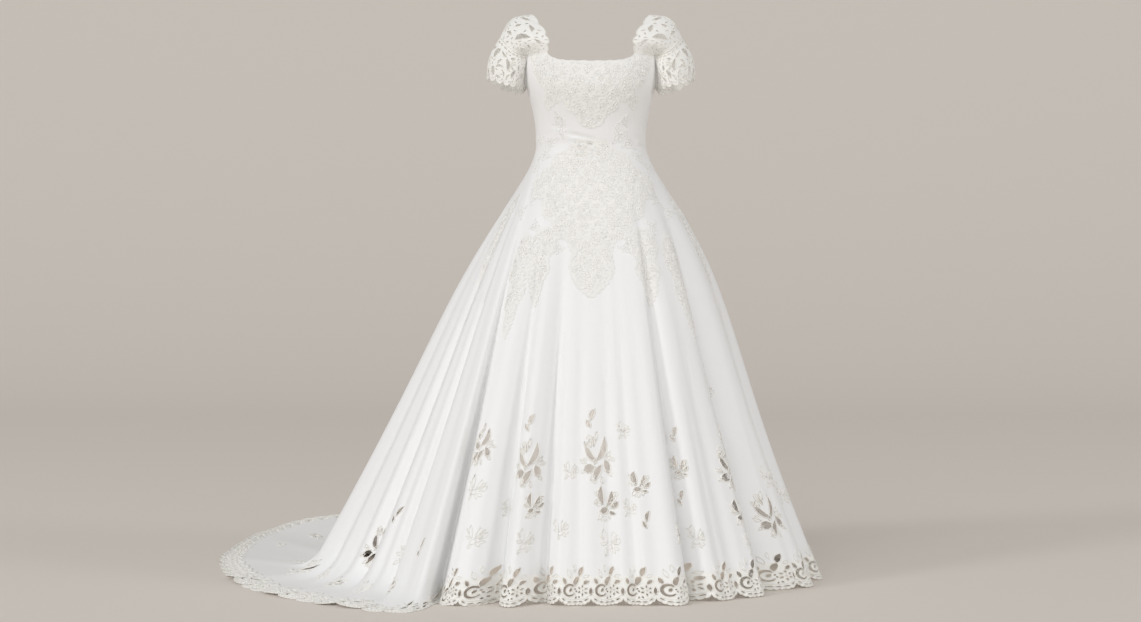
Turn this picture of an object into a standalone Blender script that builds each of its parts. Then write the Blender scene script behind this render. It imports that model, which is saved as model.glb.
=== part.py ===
# Wedding dress, filled out as if it were worn: a fitted satin bodice with a pointed
# basque, short lace sleeves, a full skirt with deep folds, a scalloped cutwork hem and
# a train that lies on the floor.
# Metres, +Z up. The origin is the middle of the shoulder line, the front faces -Y and
# the wearer's left is +X. Sizes are heights above the floor until a point is placed.

import math

import bpy
import bmesh
import numpy as np
from mathutils import Vector
from mathutils.geometry import delaunay_2d_cdt
from mathutils.kdtree import KDTree

# Driving sizes
SHOULDER_HEIGHT = 1.450      # shoulder line above the floor
WAIST_HEIGHT = 1.115
SATIN_WALL = 0.0022          # satin with its stiffening underlayer
HEM_HEIGHT = SATIN_WALL      # outer side of the cloth at the hem and on the floor
LACE_WALL = 0.0016
APPLIQUE_WALL = 0.0013
SEAM_GAP = 0.0003
FLOOR_BEND = 0.080           # half length of the bend where the skirt meets the floor
BEND_SHARE = 0.8             # most of the lying cloth that the half bend takes
FOLD_GROWTH = 1.10           # how folds widen on their way down
WAIST_EASE = 0.05            # share of the drop over which the waist curves outward
HIP_PEAK = 0.30              # share of the drop where the hips are fullest
FOLD_FADE = 0.15             # how far the hanging folds run on over the floor
RIDGE_RISE = 0.06            # how soon the ridges on the floor rise, and how far they reach
RIDGE_FADE = 0.45
BODICE_SCALE = 0.0026        # metres of bodice for each degree round the body

# Seams, as degrees round the body from the centre front towards the wearer's left
PRINCESS_SEAM = 35.0
SIDE_SEAM = 90.0
SKIRT_SEAMS = (-120.0, -61.0, 65.0, 120.0, 180.0)
SKIRT_PANELS = ("skirt_back_right", "skirt_side_right", "skirt_front", "skirt_side_left",
                "skirt_back_left")
ARMHOLE_FRONT = 68.0
ARMHOLE_BACK = 114.0
BACK_STRAP = 140.0

# Lace border at the hem
BORDER_DEPTH = 0.070
SCALLOP_PITCH = 0.0765
SCALLOP_DEPTH = 0.015
LEAVES_FROM = -1.9           # between these places along the hem each scallop has a leaf
LEAVES_TO = 1.1
GAP_LEAST_WIDTH = 0.0045

# Straps and sleeves
STRAP_CROWN = 0.020          # how far the strap stands out over the shoulder
CROWN_ASIDE = 0.55           # the way it stands out: aside, fore and aft, up
CROWN_AHEAD = 0.45
CROWN_UP = 0.80
STRAP_LENGTH = 0.240         # cloth sizes that keep the lace's gaps in shape
STRAP_WIDTH = 0.085
STRAP_SHARE = 0.70           # share of the sleeve's round that hangs from the strap
ARM_CENTRE = 0.205
SLEEVE_SWELL = 0.010         # how far the sleeve stands out between its seam and its hem
SLEEVE_SWELL_UNDER = 0.3     # share of the swell that is left under the arm
SLEEVE_CLEAR = 0.0016        # sleeve stands this far outside the bodice under the arm
SLEEVE_ROUND = 0.380
SLEEVE_LENGTH = 0.100
SLEEVE_SCALLOP_PITCH = 0.024
SLEEVE_SCALLOP_DEPTH = 0.10  # share of the sleeve's length

# Covered buttons down the back
BUTTONS = 12
BUTTON_RADIUS = 0.005
BUTTON_HEIGHT = 0.0026       # half of the button's thickness
BUTTON_TOP = 1.232
BUTTON_PITCH = 0.0165

# Spacing of the points
MERGE_DISTANCE = 5e-5
SAME_POINT = 3e-5
LEAST_LENGTH = 1e-6
EDGE_SHARES = (0.0, 0.3, 0.7)                   # points of one scallop of the hem
ROWS = (0.32, 0.44, 0.56, 0.68, 0.79, 0.90)     # shares of the drop
LOWEST_ROW = 0.11                               # cloth above the hem that has no rows
FLOOR_LYING = 0.16                              # rows on the floor where more cloth lies there
BEND_ROWS = (0.6, -0.4)                         # rows at the floor, in lengths of the bend
FLOOR_ROWS_START = 2.2
FLOOR_ROWS_END = 0.14
FLOOR_ROW_STEP = 0.20
SEAM_STRAIGHT = 0.15                            # cloth above the hem where a seam runs upright
FOLD_COLUMNS = (-1.5, -0.7, 0.0, 0.7, 1.5)      # in half widths of the fold
LEAST_SPACING = 0.031
MOST_SPACING = 0.100
DOT_CLEARANCE = 0.017
LACE_CLEARANCE = 0.007
STRAP_ROWS = 12
SLEEVE_SIDE_ROWS = (-0.33, -0.66)
SLEEVE_DOT_ROWS = (-0.25, -0.5, -0.75)
SLEEVE_COLUMNS = 24
BODICE_ROW_STEP = 0.032
BODICE_ROWS = np.arange(0.90, 1.33, BODICE_ROW_STEP)
BODICE_COLUMN_STEP = 9.0
BODICE_CLEARANCE = 0.009
SHARP_EDGE = 50.0            # degrees


def table(names, *rows):
    """Rows of numbers as named columns."""
    return dict(zip(names.split(), np.array(rows, float).T))


# Level sections of the bodice
SECTIONS = table(
    "height half_width front back squareness",
    (1.115, 0.1410, 0.100, 0.084, 0.06),
    (1.167, 0.1435, 0.107, 0.088, 0.08),
    (1.205, 0.1500, 0.117, 0.092, 0.10),
    (1.262, 0.1650, 0.127, 0.096, 0.14),
    (1.300, 0.1710, 0.121, 0.096, 0.16),
    (1.345, 0.1730, 0.105, 0.094, 0.16),
)

# Upper edge of the bodice: neckline, foot of the strap, armhole, strap, back scoop
TOP_EDGE = table(
    "angle height",
    (0, 1.318), (12, 1.319), (24, 1.323), (31, 1.330), (35, 1.337), (43, 1.338),
    (51, 1.338), (60, 1.338), (68, 1.337), (73, 1.318), (79, 1.292), (84, 1.273),
    (90, 1.265), (97, 1.271), (105, 1.292), (114, 1.318), (120, 1.321), (127, 1.321),
    (134, 1.318), (140, 1.310), (149, 1.283), (159, 1.262), (169, 1.249), (180, 1.245),
)

# Seam between bodice and skirt, dropping to the point of the basque
BASQUE = table(
    "angle height",
    (0, 0.868), (5, 0.872), (10, 0.884), (15, 0.902), (20, 0.922), (25, 0.943),
    (30, 0.962), (35, 0.977), (40, 0.988), (45, 0.996), (50, 1.003), (58, 1.010),
    (65, 1.015), (75, 1.022), (90, 1.030), (100, 1.034), (110, 1.038), (120, 1.042),
    (130, 1.045), (140, 1.046), (150, 1.045), (160, 1.041), (170, 1.036), (180, 1.032),
)

# How far the hips stand out from a straight line between waist and floor
HIPS = table("angle fullness", (0, 0.00), (45, 0.06), (90, 0.12), (180, 0.11),
             (240, 0.07), (270, 0.045), (315, 0.03))

# Plan of the skirt, a row for each meridian: its angle at the waist, where it meets
# the floor and where its hem lies. Both places are one where the skirt only hangs.
PLAN = table(
    "angle contact_x contact_y hem_x hem_y",
    (0, 0.000, -0.455, 0.000, -0.455),
    (18, 0.125, -0.450, 0.125, -0.450),
    (36, 0.245, -0.410, 0.245, -0.410),
    (50, 0.345, -0.330, 0.345, -0.330),
    (65, 0.440, -0.225, 0.440, -0.225),
    (80, 0.555, -0.085, 0.555, -0.085),
    (96, 0.602, 0.070, 0.602, 0.070),
    (110, 0.585, 0.230, 0.595, 0.235),
    (126, 0.500, 0.370, 0.570, 0.480),
    (144, 0.370, 0.480, 0.460, 0.860),
    (162, 0.200, 0.560, 0.270, 1.240),
    (180, 0.010, 0.600, 0.000, 1.560),
    (197, -0.180, 0.620, -0.330, 1.745),
    (212, -0.370, 0.600, -0.690, 1.730),
    (226, -0.550, 0.540, -0.930, 1.480),
    (238, -0.670, 0.440, -1.020, 1.100),
    (248, -0.735, 0.320, -1.045, 0.720),
    (256, -0.745, 0.200, -1.025, 0.390),
    (263, -0.725, 0.080, -0.960, 0.110),
    (269, -0.675, -0.040, -0.870, -0.130),
    (275, -0.605, -0.150, -0.755, -0.305),
    (281, -0.530, -0.270, -0.610, -0.445),
    (286, -0.468, -0.385, -0.480, -0.540),
    (290, -0.410, -0.450, -0.410, -0.545),
    (295, -0.365, -0.440, -0.365, -0.465),
    (301, -0.330, -0.436, -0.330, -0.436),
    (322, -0.235, -0.455, -0.235, -0.455),
    (341, -0.120, -0.456, -0.120, -0.456),
)

# Folds of the skirt: metres along the hem from the centre front, half width and depth
# at the hem (a valley is negative), how far the fold leans along the hem, and the share
# of the drop where it starts if that is below the basque seam
FOLDS = table(
    "around half_width depth lean start",
    (-0.300, 0.035, 0.012, 0.000, 0.00),
    (-0.243, 0.026, -0.055, 0.000, 0.00),
    (-0.186, 0.035, 0.012, 0.000, 0.00),
    (-0.122, 0.034, -0.048, 0.000, 0.00),
    (-0.035, 0.030, -0.008, 0.000, 0.00),
    (0.055, 0.032, -0.012, 0.000, 0.00),
    (0.110, 0.024, -0.007, 0.000, 0.00),
    (0.205, 0.040, 0.012, 0.012, 0.00),
    (0.268, 0.030, -0.052, -0.014, 0.00),
    (0.345, 0.050, 0.012, 0.000, 0.00),
    (0.440, 0.045, 0.020, 0.016, 0.00),
    (0.525, 0.038, -0.062, -0.016, 0.00),
    (0.635, 0.050, 0.022, 0.000, 0.00),
    (0.745, 0.040, -0.030, 0.000, 0.00),
    (0.890, 0.045, -0.052, 0.000, 0.00),
    (1.060, 0.050, -0.046, 0.000, 0.00),
    (1.260, 0.060, -0.056, 0.000, 0.00),
    (1.500, 0.070, -0.050, 0.000, 0.00),
    (1.760, 0.075, -0.060, 0.000, 0.00),
    (2.030, 0.080, -0.048, 0.000, 0.00),
    (2.320, 0.080, -0.052, 0.000, 0.00),
    (-0.412, 0.030, -0.070, -0.036, 0.30),
    (-0.405, 0.050, -0.025, 0.000, 0.00),
    (-0.620, 0.040, -0.030, 0.000, 0.00),
    (-0.740, 0.045, 0.014, 0.000, 0.00),
    (-0.860, 0.050, -0.026, 0.000, 0.00),
    (-1.280, 0.080, 0.026, 0.000, 0.00),
    (-1.560, 0.080, -0.040, 0.000, 0.00),
    (-1.840, 0.090, -0.050, 0.000, 0.00),
    (-2.180, 0.090, -0.042, 0.000, 0.00),
    (-2.540, 0.090, -0.052, 0.000, 0.00),
    (-2.940, 0.100, -0.046, 0.000, 0.00),
    (-3.340, 0.100, -0.050, 0.000, 0.00),
    (-3.740, 0.100, -0.044, 0.000, 0.00),
)

# Ridges of the cloth that lies on the floor
FLOOR_RIDGES = table(
    "around half_width height",
    (-0.680, 0.050, 0.014),
    (-0.940, 0.050, 0.012),
    (-1.240, 0.060, 0.022),
    (-1.720, 0.090, 0.012),
    (-2.270, 0.100, 0.014),
    (-2.770, 0.100, 0.010),
    (2.300, 0.090, 0.012),
    (1.800, 0.080, 0.012),
)

# The straps, a row for each place from the bodice's front edge over the shoulder to its
# back edge: the neck edge and the seam to the sleeve, between the two ends
STRAP = table(
    "share neck_x neck_y neck_height arm_x arm_y arm_height",
    (0.22, 0.106, -0.090, 1.378, 0.201, -0.062, 1.350),
    (0.38, 0.126, -0.052, 1.418, 0.226, -0.032, 1.379),
    (0.50, 0.149, 0.000, 1.450, 0.233, 0.000, 1.391),
    (0.62, 0.141, 0.044, 1.424, 0.226, 0.034, 1.379),
    (0.80, 0.121, 0.078, 1.365, 0.198, 0.062, 1.348),
)

# Lower edge of the sleeve, a row for each place round the arm from the front end of the
# strap over the shoulder and back under the arm
SLEEVE_HEM = table(
    "share x y height",
    (0.00, 0.186, -0.058, 1.252),
    (0.17, 0.226, -0.070, 1.262),
    (0.26, 0.252, -0.044, 1.273),
    (0.35, 0.266, 0.000, 1.281),
    (0.44, 0.252, 0.044, 1.273),
    (0.53, 0.226, 0.070, 1.260),
    (0.70, 0.186, 0.058, 1.250),
    (0.78, 0.178, 0.030, 1.248),
    (0.85, 0.176, 0.000, 1.248),
    (0.92, 0.178, -0.030, 1.249),
)

# Gaps of the cutwork, in millimetres from the middle of their motif: the large spray of
# leaves, the tulip below it, the bud above it, and the two gaps of one scallop of the hem
SPRAY = table(
    "x y length width turn bend",
    (-10, 12, 46, 11, 118, 0.10),
    (9, 20, 62, 12, 72, -0.14),
    (-20, -21, 25, 20, 20, 0.00),
    (3, -32, 34, 12, 60, 0.10),
    (20, -18, 34, 13, 100, -0.08),
)
TULIP = table(
    "x y length width turn bend",
    (-9, 0, 32, 10, 112, 0.12),
    (8, 4, 40, 12, 70, -0.12),
    (-2, -24, 22, 15, 10, 0.00),
)
BUD = table("x y length width turn bend", (0, 6, 26, 10, 75, 0.10), (-9, -12, 18, 8, 120, 0.0))
SCROLL = table("x y length width turn bend", (4, 20, 34, 14, 8, 0.12))
BORDER_LEAF = table("x y length width turn bend", (-17, 45, 27, 12, 55, 0.0))

# Motifs on the skirt: metres along the hem, metres above it, size and turn in degrees
SPRAYS = table(
    "around rise size turn",
    (0.017, 0.352, 1.00, 0), (-0.182, 0.342, 0.95, 0), (0.452, 0.318, 0.95, -4),
    (-0.335, 0.395, 0.80, 0), (0.600, 0.190, 0.95, 6), (-0.877, 0.325, 0.95, -12),
    (-1.270, 0.215, 0.95, -30), (0.930, 0.330, 0.95, 0),
    (-1.850, 0.360, 0.95, 0), (-2.550, 0.360, 0.95, 0), (2.050, 0.360, 0.95, 0),
    (3.000, 0.360, 0.95, 0),
)
TULIPS = table(
    "around rise size turn",
    (0.040, 0.256, 1.15, 0), (-0.160, 0.250, 0.85, 0), (0.135, 0.300, 0.85, 0),
    (0.290, 0.335, 0.80, 0), (0.442, 0.218, 0.90, 0), (-0.940, 0.205, 0.85, -15),
    (-0.575, 0.205, 0.85, -8),
)
BUDS = table(
    "around rise size turn",
    (0.003, 0.453, 1.00, 0), (-0.187, 0.446, 0.90, 0), (0.470, 0.412, 0.90, 0),
    (0.150, 0.205, 0.90, 0), (0.292, 0.411, 0.80, 0), (0.288, 0.252, 0.80, 0),
    (-0.719, 0.402, 0.90, -10), (-0.505, 0.268, 0.85, 0),
)

# Lace laid on the satin. The bust lace and the basque lace are given by the degrees
# round the body and the height of their outline on one side, the drops by their place
# on the skirt.
BUST_LACE = table(
    "angle height",
    (0, 1.150), (9, 1.160), (13, 1.185), (22, 1.196), (25, 1.222), (35, 1.212),
    (45, 1.196), (49, 1.216), (41, 1.245), (50, 1.262), (55, 1.292), (60, 1.338),
)
BASQUE_LACE_TOP = table(
    "angle height",
    (65, 1.015), (55, 1.040), (44, 1.052), (37, 1.085), (25, 1.092), (14, 1.120), (0, 1.126),
)
BASQUE_LACE_LOW = table(
    "angle height",
    (65, 1.015), (58, 0.975), (47, 0.972), (41, 0.925), (32, 0.915), (27, 0.872),
    (18, 0.868), (13, 0.835), (15, 0.792), (9, 0.752), (0, 0.722),
)
LACE_DROPS = table(
    "angle top bottom width",
    (322, 0.895, 0.700, 70), (38, 0.895, 0.700, 70), (302, 0.880, 0.620, 55),
    (58, 0.880, 0.620, 55), (276, 0.980, 0.760, 60), (84, 0.980, 0.760, 60),
    (150, 0.980, 0.740, 70), (210, 0.980, 0.740, 70),
)

# Gaps of the lace, in millimetres on the flat cloth: across from the neck edge and
# along from the front for a strap, round from the shoulder and down for a sleeve half
STRAP_GAPS = table(
    "x y length width turn bend",
    (48, 60, 34, 13, 20, 0.12),
    (42, 120, 38, 14, -10, 0.12),
    (48, 180, 34, 13, 160, 0.12),
)
SLEEVE_GAPS = table(
    "x y length width turn bend",
    (34, -30, 30, 13, 60, 0.12),
    (72, -42, 32, 14, 110, -0.12),
    (36, -72, 24, 12, 100, 0.10),
    (100, -62, 28, 12, 70, 0.10),
)


def smooth(at, knots, values, period=None):
    """Cubic curve through the table's values; it closes on itself with a period."""
    at = np.asarray(at, float)
    knots = np.asarray(knots, float)
    values = np.asarray(values, float)
    if period:
        at = knots[0] + np.mod(at - knots[0], period)
        knots = np.concatenate([knots[-2:] - period, knots, knots[:2] + period])
        values = np.concatenate([values[-2:], values, values[:2]])
    gaps = np.diff(knots)
    steps = np.diff(values) / gaps
    slopes = np.concatenate([
        steps[:1],
        (steps[:-1] * gaps[1:] + steps[1:] * gaps[:-1]) / (gaps[:-1] + gaps[1:]),
        steps[-1:],
    ])
    left = np.clip(np.searchsorted(knots, at, side="right") - 1, 0, len(gaps) - 1)
    part = np.clip((at - knots[left]) / gaps[left], 0.0, 1.0)
    rest = 1.0 - part
    return (values[left] * rest ** 2 * (1 + 2 * part)
            + values[left + 1] * part ** 2 * (1 + 2 * rest)
            + gaps[left] * part * rest * (slopes[left] * rest - slopes[left + 1] * part))


def from_front(angle):
    """The angle from the centre front, above -180 and up to 180 degrees."""
    return 180.0 - np.mod(180.0 - np.asarray(angle, float), 360.0)


def both_sides(angle):
    """Degrees from the centre front, the same for the wearer's left and right."""
    return np.abs(from_front(angle))


HEM_STEPS = np.hypot(np.diff(PLAN["hem_x"], append=PLAN["hem_x"][0]),
                     np.diff(PLAN["hem_y"], append=PLAN["hem_y"][0]))
HEM_LENGTH = HEM_STEPS.sum()
HEM_KNOTS = np.concatenate([[0.0], np.cumsum(HEM_STEPS)[:-1]])
DEGREES_PER_METRE = 360.0 / HEM_LENGTH
SCALLOPS = round(HEM_LENGTH / SCALLOP_PITCH)
SCALLOP_WIDTH = HEM_LENGTH / SCALLOPS


def plan(around, column):
    """One column of the plan at a place along the hem."""
    return smooth(around, HEM_KNOTS, PLAN[column], HEM_LENGTH)


def waist_angle(around):
    """Angle at the waist of the meridian that ends at this place along the hem."""
    spare = PLAN["angle"] - DEGREES_PER_METRE * HEM_KNOTS
    around = np.asarray(around, float)
    return smooth(around, HEM_KNOTS, spare, HEM_LENGTH) + DEGREES_PER_METRE * around


AROUND_STEPS = np.linspace(-HEM_LENGTH, HEM_LENGTH, 20001)
ANGLE_STEPS = waist_angle(AROUND_STEPS)


def hem_place(angle):
    """Place along the hem of the meridian with this angle at the waist."""
    return np.interp(angle, ANGLE_STEPS, AROUND_STEPS)


def section(angle, height):
    """Plan of the fitted bodice at a height: a squared ellipse."""
    half_width, front, back, square = (
        smooth(height, SECTIONS["height"], SECTIONS[name])
        for name in ("half_width", "front", "back", "squareness"))
    sine = np.sin(np.radians(angle))
    cosine = np.cos(np.radians(angle))
    deep = np.where(cosine > 0, front, back)
    return (half_width * np.sign(sine) * np.abs(sine) ** (1 - square),
            -deep * np.sign(cosine) * np.abs(cosine) ** (1 - square))


def flare(angle, drop):
    """Share of the way out from waist to hem at a share of the drop."""
    scale = math.hypot(1.0, WAIST_EASE) - WAIST_EASE
    straight = (np.sqrt(drop ** 2 + WAIST_EASE ** 2) - WAIST_EASE) / scale
    swell = (np.maximum(drop, 0.0) / HIP_PEAK) ** 1.5
    full = smooth(angle, HIPS["angle"], HIPS["fullness"], 360.0)
    return straight + full * swell * np.exp(1.0 - swell)


def drop_share(height):
    """Share of the drop from waist to hem at a height."""
    return (WAIST_HEIGHT - height) / (WAIST_HEIGHT - HEM_HEIGHT)


def hump(around, spot, half_width):
    """Height of a soft hump of one metre at a spot along the hem."""
    apart = (around - spot + HEM_LENGTH / 2) % HEM_LENGTH - HEM_LENGTH / 2
    return np.exp(-(apart / half_width) ** 2)


def rows_of(rows):
    """The rows of a table one after another."""
    return zip(*rows.values())


def place(x, y, height):
    """Points in the part's own frame."""
    return np.stack([x, y, height - SHOULDER_HEIGHT], axis=-1)


def bodice_point(angle, height):
    """Point of the bodice, which follows the skirt's flare below the waist."""
    angle = np.asarray(angle, float)
    height = np.asarray(height, float)
    x, y = section(angle, np.maximum(height, WAIST_HEIGHT))
    around = hem_place(angle)
    out = flare(angle, np.maximum(drop_share(height), 0.0))
    x = x + (plan(around, "contact_x") - x) * out
    y = y + (plan(around, "contact_y") - y) * out
    return place(x, y, height)


def meridian(around):
    """Waist point, reach to the floor and cloth lengths of a skirt meridian."""
    angle = waist_angle(around)
    waist_x, waist_y = section(angle, WAIST_HEIGHT)
    reach_x = plan(around, "contact_x") - waist_x
    reach_y = plan(around, "contact_y") - waist_y
    lying_x = plan(around, "hem_x") - plan(around, "contact_x")
    lying_y = plan(around, "hem_y") - plan(around, "contact_y")
    hanging = np.sqrt(reach_x ** 2 + reach_y ** 2 + (WAIST_HEIGHT - HEM_HEIGHT) ** 2)
    lying = np.hypot(lying_x, lying_y)
    return angle, (waist_x, waist_y), (reach_x, reach_y), (lying_x, lying_y), hanging, lying


def basque_height(angle):
    """Height of the seam between bodice and skirt."""
    return smooth(both_sides(angle), BASQUE["angle"], BASQUE["height"])


def seam_rise(around):
    """Cloth length from the hem up to the basque seam."""
    angle, _, _, _, hanging, lying = meridian(around)
    return lying + hanging * (1.0 - drop_share(basque_height(angle)))


def skirt_point(around, rise):
    """Point of the skirt: metres along the hem and metres of cloth above the hem."""
    around = np.asarray(around, float)
    angle, waist, reach, lying_way, hanging, lying = meridian(around)
    down = hanging + lying - rise
    bend = np.clip(BEND_SHARE * lying, LEAST_LENGTH, FLOOR_BEND)
    over = down - hanging
    past = np.clip(over + bend, 0.0, 2 * bend) ** 2 / (4 * bend)
    past = np.where(over > bend, over, past)
    drop = (down - past) / hanging
    out = flare(angle, drop)
    along = past / np.maximum(lying, LEAST_LENGTH)
    x = waist[0] + reach[0] * out + lying_way[0] * along
    y = waist[1] + reach[1] * out + lying_way[1] * along
    length = np.hypot(reach[0], reach[1])
    out_x = reach[0] / length
    out_y = reach[1] / length
    seam = drop_share(basque_height(angle))
    depth = np.zeros_like(drop)
    lean = np.zeros_like(drop)
    for spot, half_width, deep, aside, start in rows_of(FOLDS):
        begin = np.maximum(start, seam)
        grown = np.clip((drop - begin) / (1.0 - begin), 0.0, 1.0) ** FOLD_GROWTH
        grown = grown * hump(around, spot, half_width) * np.exp(-(past / FOLD_FADE) ** 2)
        depth = depth + deep * grown
        lean = lean + aside * grown
    ridge = sum(high * hump(around, spot, half_width)
                for spot, half_width, high in rows_of(FLOOR_RIDGES))
    ridge = ridge * past / (past + RIDGE_RISE) * np.exp(-past / RIDGE_FADE)
    x = x + depth * out_x - lean * out_y
    y = y + depth * out_y + lean * out_x
    height = WAIST_HEIGHT - (WAIST_HEIGHT - HEM_HEIGHT) * drop + ridge
    return place(x, y, height)


def top_height(angle):
    """Height of the bodice's upper edge."""
    return smooth(both_sides(angle), TOP_EDGE["angle"], TOP_EDGE["height"])


def strap_edges(share):
    """Neck edge and sleeve seam of the wearer's left strap."""
    ends = []
    for angle_neck, angle_arm in ((PRINCESS_SEAM, ARMHOLE_FRONT), (BACK_STRAP, ARMHOLE_BACK)):
        angles = np.array([angle_neck, angle_arm])
        ends.append(bodice_point(angles, top_height(angles)))
    knots = np.concatenate([[0.0], STRAP["share"], [1.0]])
    curves = []
    for side, name in enumerate(("neck", "arm")):
        values = [STRAP[name + "_x"], STRAP[name + "_y"],
                  STRAP[name + "_height"] - SHOULDER_HEIGHT]
        axes = []
        for axis in range(3):
            held = np.concatenate([[ends[0][side][axis]], values[axis], [ends[1][side][axis]]])
            axes.append(smooth(share, knots, held))
        curves.append(np.stack(axes, axis=-1))
    return curves


def strap_point(across, share):
    """Point of the wearer's left strap: across from the neck to the sleeve, over the shoulder."""
    across = np.asarray(across, float)
    share = np.asarray(share, float)
    neck, arm = strap_edges(share)
    straight = neck + (arm - neck) * across[..., None]
    angles = PRINCESS_SEAM + (ARMHOLE_FRONT - PRINCESS_SEAM) * across
    front = bodice_point(angles, top_height(angles))
    angles = BACK_STRAP + (ARMHOLE_BACK - BACK_STRAP) * across
    back = bodice_point(angles, top_height(angles))
    start = strap_edges(np.zeros_like(share))
    finish = strap_edges(np.ones_like(share))
    front = front - start[0] - (start[1] - start[0]) * across[..., None]
    back = back - finish[0] - (finish[1] - finish[0]) * across[..., None]
    crown = STRAP_CROWN * np.sin(np.pi * across) * np.sin(np.pi * share) ** 0.7
    outward = np.stack([np.full_like(share, CROWN_ASIDE), -CROWN_AHEAD * np.cos(np.pi * share),
                        np.full_like(share, CROWN_UP)], axis=-1)
    ends = front * (1 - share[..., None]) ** 3 + back * share[..., None] ** 3
    return straight + ends + outward * crown[..., None]


def sleeve_ring(share):
    """Upper edge of the sleeve: the strap's arm edge, then the armhole under the arm."""
    share = np.mod(np.asarray(share, float), 1.0)
    along = np.clip(share / STRAP_SHARE, 0.0, 1.0)
    _, over = strap_edges(along)
    under = np.clip((share - STRAP_SHARE) / (1 - STRAP_SHARE), 0.0, 1.0)
    angle = ARMHOLE_BACK + (ARMHOLE_FRONT - ARMHOLE_BACK) * under
    beneath = bodice_point(angle, top_height(angle))
    ring = np.where((share < STRAP_SHARE)[..., None], over, beneath)
    end = np.clip(1 - 2 * STRAP_ROWS * np.minimum(along, 1 - along), 0.0, 1.0)
    ring[..., 0] += end * SLEEVE_CLEAR * (0.3 + 0.7 * np.sin(np.pi * under))
    return ring


def sleeve_point(share, down):
    """Point of the wearer's left sleeve: round the arm, and from its seam to its hem."""
    share = np.asarray(share, float)
    down = np.asarray(down, float)[..., None]
    top = sleeve_ring(share)
    low = np.stack([smooth(share, SLEEVE_HEM["share"], SLEEVE_HEM[name], 1.0)
                    for name in ("x", "y", "height")], axis=-1)
    low[..., 2] -= SHOULDER_HEIGHT
    middle = np.array([ARM_CENTRE, 0.0, 0.0])
    away = (top + low) / 2 - middle
    away[..., 2] = 0.0
    away /= np.linalg.norm(away, axis=-1, keepdims=True)
    swell = SLEEVE_SWELL * (SLEEVE_SWELL_UNDER + np.clip(away[..., :1], 0.0, 1.0))
    return top + (low - top) * down + away * swell * np.sin(np.pi * down)


def leaf(centre, length, width, turn, bend=0.0, side_points=2):
    """Outline of a leaf-shaped gap: turn in degrees, bend as a share of its length."""
    steps = np.linspace(-1.0, 1.0, side_points + 2)[1:-1]
    spine = np.concatenate([[-1.0], steps, [1.0], steps[::-1]])
    sign = np.concatenate([[0.0], np.ones(side_points), [0.0], -np.ones(side_points)])
    along = spine * length / 2
    aside = sign * width / 2 * (1 - spine ** 2) ** 0.6 + bend * length * (1 - spine ** 2)
    cosine = math.cos(math.radians(turn))
    sine = math.sin(math.radians(turn))
    return np.stack([centre[0] + along * cosine - aside * sine,
                     centre[1] + along * sine + aside * cosine], axis=-1)


def motif(rows, centre, size=1.0, turn=0.0, side_points=2):
    """Gap outlines of one motif, placed on the cloth."""
    cosine = math.cos(math.radians(turn))
    sine = math.sin(math.radians(turn))
    loops = []
    for x, y, length, width, lean, bend in rows_of(rows):
        x = x * size / 1000
        y = y * size / 1000
        middle = (centre[0] + x * cosine - y * sine, centre[1] + x * sine + y * cosine)
        broad = max(width * size / 1000, GAP_LEAST_WIDTH)
        loops.append(leaf(middle, length * size / 1000, broad, lean + turn, bend, side_points))
    return loops


def inside(loop, points):
    """True for the points that a closed outline holds."""
    x = points[:, 0]
    y = points[:, 1]
    held = np.zeros(len(points), bool)
    ends = np.roll(loop, -1, axis=0)
    for (ax, ay), (bx, by) in zip(loop, ends):
        if ay == by:
            continue
        crosses = (ay > y) != (by > y)
        held ^= crosses & (x < ax + (y - ay) * (bx - ax) / (by - ay))
    return held


def triangulate(outlines, lines, dots):
    """Flat triangles that keep the outlines and the seam lines as edges."""
    points = []
    edges = []
    for chain, closed in [(line, True) for line in outlines] + [(line, False) for line in lines]:
        first = len(points)
        points.extend(Vector(point) for point in np.asarray(chain, float))
        last = len(points) - 1
        edges.extend((index, index + 1) for index in range(first, last))
        if closed:
            edges.append((last, first))
    points.extend(Vector(dot) for dot in dots)
    flat, _, faces, _, _, _ = delaunay_2d_cdt(points, edges, [], 0, SAME_POINT)
    return np.array([tuple(point) for point in flat]), np.array(faces)


def clear_dots(dots, chains, distance):
    """The dots that are not too near to any outline or line."""
    tree = KDTree(sum(len(chain) * 4 for chain in chains))
    for chain in chains:
        ends = np.roll(chain, -1, axis=0)
        for share in (0.0, 0.25, 0.5, 0.75):
            for x, y in chain + (ends - chain) * share:
                tree.insert((x, y, 0.0), 0)
    tree.balance()
    return [dot for dot in dots if tree.find((dot[0], dot[1], 0.0))[2] > distance]


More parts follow.
